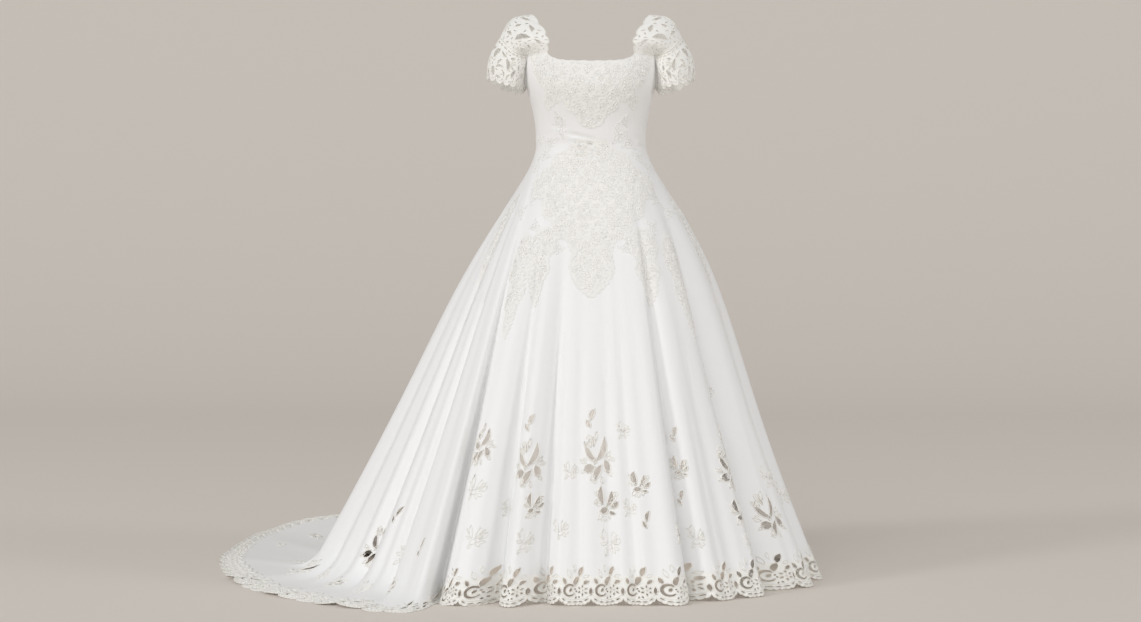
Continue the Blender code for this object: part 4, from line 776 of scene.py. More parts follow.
def placed(rows, centre=(0.0, 0.0), size=1.0, turn=0.0, widen=1.0, side_points=3):
    """Leaf outlines of one motif, placed on the flat cloth."""
    cosine = math.cos(math.radians(turn))
    sine = math.sin(math.radians(turn))
    loops = []
    for x, y, length, width, lean, bend in rows_of(rows):
        width = max(width * size, 1000 * GAP_LEAST_WIDTH)
        loop = leaf((x * size, y * size), length * size, width, lean, bend, side_points) / 1000
        loops.append(pairs(centre[0] + (loop[:, 0] * cosine - loop[:, 1] * sine) / widen,
                           centre[1] + loop[:, 0] * sine + loop[:, 1] * cosine))
    return loops


def ring_gaps(middle, radius, count, length, width, first):
    """Rows for a ring of leaf gaps that point away from a middle."""
    turns = [first + 360 * number / count for number in range(count)]
    return table(LEAVES, *[(middle[0] + radius * math.cos(math.radians(turn)),
                            middle[1] + radius * math.sin(math.radians(turn)), length, width, turn)
                           for turn in turns])


def sized_ring(ring, size, first):
    """Rows for a ring of leaf gaps round a flower of some size."""
    radius, count, length, width = ring
    return ring_gaps((0, 0), radius * size, count, length * size, width * size, first)


def scroll_gap(middle, radius, start, end, thick, thin, count):
    """Outline in millimetres of a C-shaped gap that grows thinner."""
    turns = np.radians(np.linspace(start, end, count))
    half = np.linspace(thick, thin, count) / 2 * np.sin(np.pi * np.linspace(0.08, 0.92, count)) ** 0.4
    way = pairs(np.cos(turns), np.sin(turns))
    outer = middle + way * (radius + half)[:, None]
    inner = middle + way * (radius - half)[:, None]
    return np.concatenate([outer, inner[::-1]])


def rose(spot, middle, radius, widen, turns=1.6, count=16):
    """Spiral cord of a rose whose middle and radius are in millimetres, at a spot of the cloth."""
    part = np.linspace(0.12, 1.0, count)
    angle = part * turns * 2 * np.pi
    spread = radius * part
    return pairs(spot[0] + (middle[0] + spread * np.cos(angle)) / 1000 / widen,
                 spot[1] + (middle[1] + spread * np.sin(angle)) / 1000)


def lobed(line, closed=True, pitch=0.014, depth=0.0036):
    """Line with small round lobes on its outer side, in metres on the flat cloth."""
    ends = np.roll(line, -1, axis=0)
    turned = np.sign((line[:, 0] * ends[:, 1] - ends[:, 0] * line[:, 1]).sum())
    points = []
    for (x0, y0), (x1, y1) in list(zip(line, ends))[:None if closed else -1]:
        length = math.hypot(x1 - x0, y1 - y0)
        lobes = max(1, round(length / pitch))
        steps = np.arange(lobes * 4) / (lobes * 4)
        swell = turned * depth / max(length, LEAST_LENGTH) * np.abs(np.sin(np.pi * lobes * steps))
        points.append(pairs(x0 + (x1 - x0) * steps + (y1 - y0) * swell,
                            y0 + (y1 - y0) * steps - (x1 - x0) * swell))
    if not closed:
        points.append(line[-1:])
    return np.concatenate(points)


def lobed_outline(rows, beyond):
    """Lobed outline in degrees and heights from the rows of one side, closed past an edge."""
    half = pairs(rows["angle"], rows["height"])
    whole = np.concatenate([half, (half * (-1, 1))[::-1][1:]])
    near = lobed(whole * BODICE_UNITS, False) / BODICE_UNITS
    return np.concatenate([near, [(-half[0, 0], beyond), (half[0, 0], beyond)]])


def drop_outline(angle, top, bottom, width):
    """Lobed outline of a lace drop on the skirt; the width is in millimetres."""
    shares = np.array([0.0, 0.12, 0.28, 0.40, 0.55, 0.68, 0.82])
    widths = np.array([0.35, 0.95, 1.00, 0.62, 0.85, 0.50, 0.42]) * width / 2000
    ends = angle_rise(np.array([angle, angle]), np.array([top, bottom]))
    middle = ends[0] + (ends[1] - ends[0]) * shares[:, None]
    one = skirt_point(middle[:, 0] + PROBE, middle[:, 1])
    two = skirt_point(middle[:, 0] - PROBE, middle[:, 1])
    side = pairs(widths / (np.linalg.norm(one - two, axis=1) / (2 * PROBE)), 0.0)
    shape = np.concatenate([middle - side, ends[1:], (middle + side)[::-1]])
    widen = stretch("skirt", *shape.mean(axis=0))
    return lobed(shape * (widen, 1.0)) / (widen, 1.0)


def inside(loop, points):
    """True for the points that a closed outline holds."""
    x, y = points.T
    held = np.zeros(len(points), bool)
    for (ax, ay), (bx, by) in zip(loop, np.roll(loop, -1, axis=0)):
        if ay != by:
            crosses = (ay > y) != (by > y)
            held ^= crosses & (x < ax + (y - ay) * (bx - ax) / (by - ay))
    return held


def within_any(loops, middle):
    """True for the points that one of many small outlines holds."""
    order = np.argsort(middle[:, 0])
    sorted_x = middle[order, 0]
    held = np.zeros(len(middle), bool)
    for loop in loops:
        low, high = np.searchsorted(sorted_x, (loop[:, 0].min(), loop[:, 0].max()))
        some = order[low:high]
        some = some[(middle[some, 1] > loop[:, 1].min()) & (middle[some, 1] < loop[:, 1].max())]
        held[some[inside(loop, middle[some])]] = True
    return held


def rim_points(chains, shares=(0.0, 0.25, 0.5, 0.75)):
    """Points along closed outlines, at these shares of each of their steps."""
    return np.concatenate([chain + (np.roll(chain, -1, axis=0) - chain) * share
                           for chain in chains for share in shares])


def tree_of(points):
    """Tree that finds the nearest of flat points."""
    tree = KDTree(len(points))
    for x, y in points:
        tree.insert((x, y, 0.0), 0)
    tree.balance()
    return tree


def fill_gaps(outline, taken, sizes, discs=()):
    """Small leaf gaps, in metres, in what an outline holds besides the gaps that are there."""
    pitch, length, width, clear = sizes
    tree = tree_of(rim_points([outline, *taken], (0.0, 0.34, 0.67)))
    low = outline.min(axis=0)
    high = outline.max(axis=0)
    spots = []
    for j, y in enumerate(np.arange(low[1] + pitch / 2, high[1], pitch * ROW_SHARE)):
        for i, x in enumerate(np.arange(low[0] + pitch / 2 * (1 + j % 2), high[0], pitch)):
            spots.append((x + pitch * 0.13 * math.sin(5.1 * i + 2.3 * j),
                          y + pitch * 0.13 * math.cos(3.7 * i + 4.9 * j),
                          (i * 67 + j * 131) % 180))
    spots = np.array(spots)
    keep = inside(outline, spots[:, :2]) & ~within_any(taken, spots[:, :2])
    return [leaf((x, y), length, width, turn) for x, y, turn in spots[keep]
            if tree.find((x, y, 0.0))[2] >= clear
            and all(math.hypot(x - disc_x, y - disc_y) >= r for disc_x, disc_y, r in discs)]


def flower_spots(outline, pitch, clear):
    """Middles of the flowers of a lace that lie well inside its outline."""
    low = outline.min(axis=0)
    high = outline.max(axis=0)
    shift = 0.2 * pitch
    spots = np.array([
        (x + shift * math.sin(3.1 * i + 1.7 * j), y + shift * math.cos(2.3 * i + j))
        for j, y in enumerate(np.arange(low[1] + pitch * 0.4, high[1], pitch * ROW_SHARE))
        for i, x in enumerate(np.arange(low[0] + pitch / 2 * (j % 2), high[0], pitch))])
    rim = rim_points([outline])
    return [spot for spot in spots[inside(outline, spots)]
            if np.hypot(*(rim - spot).T).min() > clear]


def laid_lace(outline):
    """Middle, size and turn of the flowers of a laid lace, and the small gaps between them."""
    flowers = [(spot, FLOWER_SIZE + FLOWER_VARIES * math.sin(number * 2.4), number * 47)
               for number, spot in enumerate(flower_spots(outline, *LAID_FLOWERS))]
    discs = [(*spot, LAID_CLEARING * size) for spot, size, _ in flowers]
    return flowers, fill_gaps(outline, [], LAID_FILL, discs)


def triangulate(outlines, lines, dots):
    """Flat triangles that keep the outlines and the seam lines as edges."""
    points = []
    edges = []
    for chain, closed in [(line, True) for line in outlines] + [(line, False) for line in lines]:
        first = len(points)
        points.extend(Vector(point) for point in chain)
        last = len(points) - 1
        edges.extend((index, index + 1) for index in range(first, last))
        if closed:
            edges.append((last, first))
    points.extend(Vector(dot) for dot in dots)
    flat, _, faces, _, _, _ = delaunay_2d_cdt(points, edges, [], 0, SAME_POINT)
    return np.array([tuple(point) for point in flat]), np.array(faces)


def cut_out(outline, gaps, marks, lines, dots, clear):
    """Flat net of one pattern with its gaps left out; marks and lines stay as edges."""
    tree = tree_of(rim_points([outline, *gaps, *marks, *lines]))
    dots = [dot for dot in dots[inside(outline, dots)] if tree.find((*dot, 0.0))[2] > clear]
    flat, faces = triangulate([outline, *gaps, *marks], lines, dots)
    middle = flat[faces].mean(axis=1)
    keep = inside(outline, middle) & ~within_any(gaps, middle)
    return flat, faces[keep], middle[keep]


def new_piece(name, mesh, material):
    """Visible piece with one smooth material."""
    mesh.materials.append(material)
    mesh.shade_smooth()
    piece = bpy.data.objects.new(name, mesh)
    bpy.context.scene.collection.objects.link(piece)
    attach(piece, "root")
    return piece


class Cords:
    """Raised cords: lines on the flat cloth of one surface, made into fine tubes."""

    def __init__(self):
        self.lines = []

    def add(self, surface, kind, line, closed=True):
        """Add one cord of a kind along a line."""
        self.lines.append((surface, line, *CORD_KINDS[kind], closed))

    def flower(self, surface, kind, spot, size, turn, widen):
        """Add the cords of one flower: petals round a rose."""
        for loop in placed(sized_ring(PETAL_RING, size, turn), spot, widen=widen):
            self.add(surface, kind, loop)
        radius, turns, count = FLOWER_ROSE
        self.add(surface, kind, rose(spot, (0, 0), radius * size, widen, turns, count), False)

    def build(self, name, material):
        """One mesh from all the lines: four-sided tubes that lie on the cloth."""
        verts = []
        faces = []
        count = 0
        for surface, point_at in SURFACES.items():
            group = [line[1:] for line in self.lines if line[0] == surface]
            if not group:
                continue
            x, y = np.concatenate([line[0] for line in group]).T
            points = point_at(x, y)
            one = point_at(x + CORD_PROBE, y) - point_at(x - CORD_PROBE, y)
            two = point_at(x, y + CORD_PROBE) - point_at(x, y - CORD_PROBE)
            normals = unit(np.cross(one, two))
            start = 0
            for line, radius, lift, closed in group:
                size = len(line)
                path = points[start:start + size]
                normal = normals[start:start + size]
                start += size
                index = np.arange(size)
                thick = np.full((size, 1), radius)
                if closed:
                    way = np.roll(path, -1, axis=0) - np.roll(path, 1, axis=0)
                else:
                    way = np.gradient(path, axis=0)
                    index = index[:-1]
                    thick[[0, -1]] *= CORD_END
                side = unit(np.cross(normal, unit(way)))
                middle = path + normal * lift
                ring = np.stack([middle + side * thick, middle + normal * thick * 1.1,
                                 middle - side * thick, middle - normal * thick * 0.6], axis=1)
                after = (index + 1) % size
                quads = [np.stack([index * 4 + k, index * 4 + (k + 1) % 4,
                                   after * 4 + (k + 1) % 4, after * 4 + k], axis=1) for k in range(4)]
                if not closed:
                    quads.append(np.array([[0, 3, 2, 1], size * 4 - np.array([4, 3, 2, 1])]))
                for hand in (1, -1) if surface in MIRRORED else (1,):
                    faces += [quad[:, ::hand] + count for quad in quads]
                    verts.append((ring * (hand, 1, 1)).reshape(-1, 3))
                    count += size * 4
        mesh = bpy.data.meshes.new(name)
        mesh.from_pydata(np.concatenate(verts).tolist(), [], np.concatenate(faces).tolist())
        return new_piece(name, mesh, material)


class Net:
    """All the dress's outer surface as one net of triangles, with its flat pattern and names."""

    def __init__(self):
        self.points = []
        self.triangles = []
        self.flat = []
        self.names = []
        self.laces = []

    def add(self, flat, points, triangles, names, laces):
        """Add one flat pattern and where it lies in space."""
        self.triangles.extend(triangles + len(self.points))
        self.points.extend(points)
        self.flat.extend(flat[triangles])
        self.names.extend(names)
        self.laces.extend(laces)

    def add_pair(self, flat, points, triangles, names):
        """Add a pattern of the wearer's left side and its mirror image."""
        blank = np.full(len(triangles), "", object)
        self.add(flat, points, triangles, names, blank)
        other = [name.replace("left", "right") for name in names]
        self.add(flat, points * (-1, 1, 1), triangles[:, ::-1], other, blank)

    def weld(self):
        """Join the patterns where they share points, and find the normals."""
        points = np.array(self.points)
        tree = KDTree(len(points))
        for index, point in enumerate(points):
            tree.insert(point, index)
        tree.balance()
        chosen = np.full(len(points), -1)
        for index, point in enumerate(points):
            if chosen[index] < 0:
                near = [hit[1] for hit in tree.find_range(point, MERGE_DISTANCE)]
                chosen[[other for other in near if chosen[other] < 0]] = index
        triangles = chosen[np.array(self.triangles)]
        corners = points[triangles]
        cross = unit(np.cross(corners[:, 1] - corners[:, 0], corners[:, 2] - corners[:, 0]))
        normals = np.zeros_like(points)
        for corner in range(3):
            one = corners[:, (corner + 1) % 3] - corners[:, corner]
            two = corners[:, (corner + 2) % 3] - corners[:, corner]
            lengths = np.linalg.norm(one, axis=1) * np.linalg.norm(two, axis=1)
            cosine = (one * two).sum(axis=1) / np.maximum(lengths, TINY)
            angle = np.arccos(np.clip(cosine, -1, 1))
            np.add.at(normals, triangles[:, corner], cross * angle[:, None])
        self.points = points
        self.normals = unit(normals)
        whole = (triangles != np.roll(triangles, 1, axis=1)).all(axis=1)
        self.triangles = triangles[whole]
        self.flat = np.array(self.flat)[whole]
        self.names = np.array(self.names)[whole]
        self.laces = np.array(self.laces)[whole]

    def shell(self, name, keep, outer, inner, material):
        """Thin closed shell of the kept triangles, with the net's own smooth normals."""
        used, local = np.unique(self.triangles[keep], return_inverse=True)
        triangles = local.reshape(-1, 3)
        count = len(used)
        points = self.points[used]
        normals = self.normals[used]
        flat = self.flat[keep]
        sides = ([0, 1], [1, 2], [2, 0])
        edges = np.concatenate([triangles[:, side] for side in sides])
        ends = np.concatenate([flat[:, side] for side in sides])
        keys = edges[:, 0] * count + edges[:, 1]
        alone = ~np.isin(keys, edges[:, 1] * count + edges[:, 0])
        one, two = edges[alone].T
        rim = np.stack([two, one, one + count, two + count], axis=1)
        mesh = bpy.data.meshes.new(name)
        mesh.from_pydata(np.concatenate([points + normals * outer, points + normals * inner]).tolist(), [],
                         triangles.tolist() + (triangles[:, ::-1] + count).tolist() + rim.tolist())
        layer = mesh.uv_layers.new(name="flat")
        corners = np.concatenate([flat.reshape(-1, 2), flat[:, ::-1].reshape(-1, 2),
                                  ends[alone][:, [1, 0, 0, 1]].reshape(-1, 2)])
        layer.data.foreach_set("uv", corners.astype(np.float32).ravel())
        piece = new_piece(name, mesh, material)
        side = unit(np.cross(points[two] - points[one], normals[one]))
        bent = np.concatenate([normals[triangles].reshape(-1, 3),
                               -normals[triangles[:, ::-1]].reshape(-1, 3),
                               np.repeat(side, 4, axis=0)])
        mesh.normals_split_custom_set(bent.tolist())
        return piece


def hem_edge(around):
    """Height of the lace's edge along the scallops and their small loops."""
    part = np.mod(around / SCALLOP_WIDTH, 1.0)
    loops = np.abs(np.sin(np.pi * PICOTS * part)) ** 0.7
    return SCALLOP_DEPTH * np.abs(2 * part - 1) ** 3 + PICOT_DEPTH * (1 - loops)


def fine_seam(angle):
    """Seam of the skirt with close points, where the seam of the solids runs."""
    top = float(hem_place(from_front(angle)))
    foot = round(top / SCALLOP_WIDTH) * SCALLOP_WIDTH
    highest = float(seam_rise(np.array(top)))
    low = float(hem_edge(np.array(foot)))
    rises = np.concatenate([[low], np.linspace(BORDER_DEPTH, highest, int(highest / SEAM_STEP))])
    share = np.clip((rises - SEAM_LEAN_START) / (highest - SEAM_LEAN_START), 0, 1)
    return pairs(foot + (top - foot) * share, rises)


def fine_upright(angle):
    """Line up the bodice at one angle, from the basque seam to its upper edge."""
    return pairs(angle, np.linspace(float(basque_height(angle)), float(top_height(angle)), 40))


def scallop_pattern():
    """Gaps of one scallop in metres from its middle and lowest point."""
    gaps = placed(HEM_GAPS) + placed(ring_gaps(*HEM_FLOWER), side_points=2)
    gaps.append(scroll_gap(*HEM_SCROLL) / 1000)
    half = SCALLOP_WIDTH / 2
    steps = np.linspace(-half, half, 41)
    low = SCALLOP_DEPTH * np.abs(steps / half) ** 3 + PICOT_DEPTH
    high = FINE_LACE_TOP + FINE_LACE_ARCH * np.cos(np.pi * steps / half)
    cell = np.concatenate([pairs(steps, low), pairs(steps, high)[::-1]])
    return gaps, fill_gaps(cell, gaps, SCALLOP_FILL)


def border_gaps(first, last, edge, cords):
    """All gaps of the lace border, with its cords."""
    big, small = scallop_pattern()
    line = np.linspace(-0.5, 0.5, 17)
    bow = pairs(line * SCALLOP_WIDTH, HEM_BOW + SCALLOP_DEPTH * np.abs(2 * line) ** 3)
    gaps = []
    for number in range(first, last):
        middle = ((number + 0.5) * SCALLOP_WIDTH, 0.0)
        here = [loop + middle for loop in big]
        leaves = placed(SPRIG, middle)
        gaps += here + [loop + middle for loop in small] + leaves
        for kind, loops in (("hem gap", here), ("hem leaf", leaves),
                            ("hem stem", placed(HEM_CORDS, middle, side_points=2))):
            for loop in loops:
                cords.add("skirt", kind, loop)
        cords.add("skirt", "hem bow", bow + middle, False)
        own = edge[(number - first) * EDGE_STEPS:(number - first + 1) * EDGE_STEPS + 1]
        cords.add("skirt", "hem edge", own + (0.0, 0.0010), False)
    return gaps


def skirt_motifs(cords):
    """Gaps of the clusters on the skirt, with their cords."""
    gaps = []
    sets = ((SPRAYS, SPRAY, SPRAY_CORDS, ROSES), (TULIPS, TULIP, TULIP_CORDS, TULIP_ROSES),
            (BUDS, BUD, None, None))
    for places, shape, extra, roses in sets:
        for around, rise, size, turn in rows_of(places):
            widen = stretch("skirt", around, rise)
            loops = placed(shape, (around, rise), size, turn, widen)
            gaps += loops
            for loop in loops:
                cords.add("skirt", "cutwork", loop)
            if extra is None:
                continue
            for loop in placed(extra, (around, rise), size, turn, widen, 2):
                cords.add("skirt", "leaf", loop)
            for x, y, radius in rows_of(roses):
                line = rose((around, rise), (x * size, y * size), radius * size, widen)
                cords.add("skirt", "rose", line, False)
    for around, rise, size, turn in rows_of(RAISED):
        widen = stretch("skirt", around, rise)
        for shape in (TULIP, TULIP_CORDS):
            for loop in placed(shape, (around, rise), size, turn, widen, 2):
                cords.add("skirt", "raised", loop)
    return gaps


def skirt_laces(cords):
    """Outlines and small gaps of the lace laid on the skirt, with the flowers' cords."""
    laces = {"basque_lace": angle_rise(*lobed_outline(BASQUE_LACE_LOW, 1.2).T)}
    for number, (angle, high, low, width) in enumerate(rows_of(LACE_DROPS)):
        laces[f"lace_drop_{number + 1:02d}"] = drop_outline(from_front(angle), high, low, width)
    gaps = []
    for name, shape in laces.items():
        widen = stretch("skirt", *shape.mean(axis=0))
        flat = shape * (widen, 1.0)
        if name == "basque_lace":
            flat = flat[flat[:, 1] < seam_rise(flat[:, 0] / widen) + 0.001]
        flowers, small = laid_lace(flat)
        small = [loop * (1 / widen, 1.0) for loop in small]
        gaps += [loop for loop in small if (loop[:, 1] < seam_rise(loop[:, 0]) - 0.004).all()]
        for (x, y), size, turn in flowers:
            if y < seam_rise(x / widen) - 0.002:
                cords.flower("skirt", "laid", (x / widen, y), size, turn, widen)
    for number, (angle, height, size) in enumerate(rows_of(BODICE_SPRIGS)):
        spot = (angle * BODICE_SCALE, height)
        widen = stretch("body", *spot)
        cords.flower("body", "sprig", spot, 1.3 * size, number * 47, widen)
        for loop in placed(SPRIG_LEAVES, spot, size, number * 47, widen):
            cords.add("body", "sprig", loop)
    return laces, gaps


def skirt_dots(left, right):
    """Inner points of the skirt's net: fewer where the cloth is narrow or hangs smoothly."""
    columns = np.arange(math.ceil(left / COLUMN) - SPARE_COLUMNS, right / COLUMN + SPARE_COLUMNS)
    places = columns * COLUMN
    columns = columns.astype(int)
    *_, lying = meridian(places)
    dots = []
    for row, rise in enumerate(np.arange(BORDER_DEPTH + 0.016, TOP_RISE, ROW)):
        rises = np.full(len(places), rise)
        one = skirt_point(places + COLUMN_PROBE, rises)
        two = skirt_point(places - COLUMN_PROBE, rises)
        wide = np.linalg.norm(one - two, axis=1) / (2 * COLUMN_PROBE)
        level = np.clip(np.round(-np.log2(np.maximum(wide, NARROWEST))), 0, 3).astype(int)
        keep = columns % (2 ** level) == 0
        keep &= (rise > lying - FLOOR_MARGIN) | ((row % 2 == 0) & (columns % 2 == 0))
        dots += [(x, rise) for x in places[keep]]
    for row, rise in enumerate(np.arange(0.008, BORDER_DEPTH + 0.010, BORDER_DOT * ROW_SHARE)):
        places = np.arange(left, right, BORDER_DOT) + BORDER_DOT / 2 * (row % 2)
        dots += [(x, rise) for x in places]
    dots = np.array(dots)
    return dots[dots[:, 1] < seam_rise(dots[:, 0]) - 0.006]


def lace_names(laces, gaps, middle):
    """Name of the lace that lies on each triangle, if any."""
    names = np.full(len(middle), "", object)
    for name, outline in laces.items():
        names[inside(outline, middle)] = name
    names[within_any(gaps, middle)] = ""
    return names


def lay_out_skirt(net, hem_cords, motif_cords, laid_cords):
    """Fine net of the skirt, its lace border and the lace laid on it."""
    seams = [fine_seam(angle) for angle in SKIRT_SEAMS]
    right = seams[-1]
    left = right - (HEM_LENGTH, 0.0)
    first = round(left[0, 0] / SCALLOP_WIDTH)
    last = round(right[0, 0] / SCALLOP_WIDTH)
    edge = np.arange(first * EDGE_STEPS, last * EDGE_STEPS) / EDGE_STEPS * SCALLOP_WIDTH
    edge = pairs(edge, hem_edge(edge))
    top = hem_place(np.linspace(-180, 180, 361))
    top = pairs(top, seam_rise(top))
    outline = np.concatenate([edge, right, top[::-1][1:-1], left[::-1][:-1]])
    border = pairs(np.arange(first * 8, last * 8 + 1) / 8 * SCALLOP_WIDTH, BORDER_DEPTH)
    gaps = border_gaps(first, last, edge, hem_cords) + skirt_motifs(motif_cords)
    laces, laid_gaps = skirt_laces(laid_cords)
    marks = laid_gaps + list(laces.values())
    dots = skirt_dots(left[0, 0], right[0, 0])
    flat, faces, middle = cut_out(outline, gaps, marks, seams[:-1] + [border], dots, SKIRT_CLEAR)
    x, y = middle.T
    names = np.full(len(faces), "", object)
    for panel, one, other in zip(SKIRT_PANELS, [left] + seams, seams):
        past_one = x > np.interp(y, one[:, 1], one[:, 0])
        names[past_one & (x < np.interp(y, other[:, 1], other[:, 0]))] = panel
    hems = y < BORDER_DEPTH
    names[hems] = [name.replace("skirt", "hem_lace") for name in names[hems]]
    net.add(flat, skirt_point(*flat.T), faces, names, lace_names(laces, laid_gaps, middle))


def lay_out_bodice(net, cords):
    """Fine net of the bodice with the lace laid on it."""
    angles = np.linspace(-180, 180, 721)
    neck = np.where((np.abs(angles) < PRINCESS_SEAM) | (np.abs(angles) > BACK_STRAP), 1.0, 0.0)
    loops = NECK_LOBE_DEPTH * (1 - np.abs(np.sin(np.radians(angles) * 45 / 2)) ** 0.7) * neck
    upper = pairs(angles, top_height(angles) - loops)
    angles = np.linspace(-180, 180, 361)
    outline = np.concatenate([pairs(angles, basque_height(angles)), fine_upright(180.0)[1:-1],
                              upper[::-1], fine_upright(-180.0)[::-1][1:-1]]) * BODICE_UNITS
    seams = [fine_upright(angle) * BODICE_UNITS
             for angle in (-SIDE_SEAM, -PRINCESS_SEAM, PRINCESS_SEAM, SIDE_SEAM)]
    laces = {"bust_lace": lobed_outline(BUST_LACE, 1.4) * BODICE_UNITS,
             "basque_lace": lobed_outline(BASQUE_LACE_TOP, 0.8) * BODICE_UNITS}
    gaps = []
    for shape in laces.values():
        flowers, small = laid_lace(pairs(shape[:, 0], np.clip(shape[:, 1], LACE_FOOT, BODICE_TOP)))
        for spot, size, turn in flowers:
            angle = spot[0] / BODICE_SCALE
            if basque_height(angle) + 0.002 < spot[1] < top_height(angle) - 0.012:
                cords.flower("body", "laid", spot, size, turn, stretch("body", *spot))
        for loop in small:
            angle = loop[:, 0] / BODICE_SCALE
            height = loop[:, 1]
            if ((height > basque_height(angle) + 0.004) & (height < top_height(angle) - 0.005)).all():
                gaps.append(loop)
    angles = np.linspace(-PRINCESS_SEAM, PRINCESS_SEAM, 90)
    cords.add("body", "neckline", pairs(angles * BODICE_SCALE, top_height(angles) - 0.0018), False)
    heights = np.arange(BODICE_FOOT, BODICE_TOP, BODICE_STEP * ROW_SHARE)
    dots = np.array([(x + BODICE_STEP / 2 * (row % 2), height) for row, height in enumerate(heights)
                     for x in np.arange(-BODICE_HALF, BODICE_HALF, BODICE_STEP)])
    flat, faces, middle = cut_out(outline, [], [*laces.values(), *gaps], seams, dots, BODICE_CLEAR)
    names = []
    for x in middle[:, 0]:
        side = "left" if x > 0 else "right"
        turned = abs(x) / BODICE_SCALE
        names.append("bodice_front" if turned < PRINCESS_SEAM
                     else "bodice_side_front_" + side if turned < SIDE_SEAM
                     else "bodice_back_" + side)
    points = creased_bodice(flat[:, 0] / BODICE_SCALE, flat[:, 1])
    net.add(flat, points, faces, names, lace_names(laces, gaps, middle))


def net_lace(cords, surface, outline, large):
    """All gaps of a lace that is seen through, with its cords."""
    for loop in large:
        cords.add(surface, "net gap", loop)
    gaps = list(large)
    discs = []
    for number, spot in enumerate(flower_spots(outline, *NET_FLOWERS)):
        near = min(np.hypot(*(loop - spot).T).min() for loop in large)
        if near < NET_FLOWER_LEAST or within_any(large, spot[None])[0]:
            continue
        size = NET_FLOWER_SMALL if near < NET_FLOWER_NEAR else 1.0
        cords.flower(surface, "net flower", spot, size * NET_CORDS_SIZE, number * 47, 1.0)
        for loop in placed(sized_ring(NET_RING, size, number * 31), spot, side_points=2):
            middle = loop.mean(axis=0)
            away = min(np.hypot(*(other - middle).T).min() for other in gaps + [outline])
            middle = middle[None]
            if away > NET_GAP_CLEAR and inside(outline, middle)[0] and not within_any(gaps, middle)[0]:
                gaps.append(loop)
        discs.append((*spot, NET_CLEARING * size))
    return gaps + fill_gaps(outline, gaps, NET_FILL, discs)


def lay_out_straps(net, cords):
    """Fine net of the two lace straps."""
    front = np.arange(PRINCESS_SEAM, ARMHOLE_FRONT + 0.1, 0.5)
    front = (front - PRINCESS_SEAM) / (ARMHOLE_FRONT - PRINCESS_SEAM)
    back = np.arange(ARMHOLE_BACK, BACK_STRAP + 0.1, 0.5)
    back = (BACK_STRAP - back) / (BACK_STRAP - ARMHOLE_BACK)
    shares = np.linspace(0, 1, 49)[1:-1]
    lobes = STRAP_LOBE_DEPTH * (1 - np.abs(np.sin(np.pi * STRAP_LOBES * shares)) ** 0.7)
    outline = np.concatenate([pairs(front, 0.0), pairs(1.0, shares), pairs(back, 1.0),
                              pairs(lobes, shares)[::-1]]) * (STRAP_WIDTH, STRAP_LENGTH)
    gaps = net_lace(cords, "strap", outline, placed(STRAP_GAPS) + placed(STRAP_PETALS, side_points=2))
    neck = pairs(lobes * STRAP_WIDTH + 0.0012, shares * STRAP_LENGTH)
    cords.add("strap", "strap neck", neck, False)
    arm = pairs(STRAP_WIDTH - 0.001, np.linspace(0.0, STRAP_LENGTH, 60))
    cords.add("strap", "strap arm", arm, False)
    dots = np.array([(x, y) for x in np.arange(0.005, STRAP_WIDTH, LACE_STEP)
                     for y in np.arange(0.005, STRAP_LENGTH, LACE_STEP)])
    flat, faces, _ = cut_out(outline, gaps, [], [], dots, LACE_CLEAR)
    net.add_pair(flat, strap_flat(*flat.T), faces, ["strap_lace_left"] * len(faces))


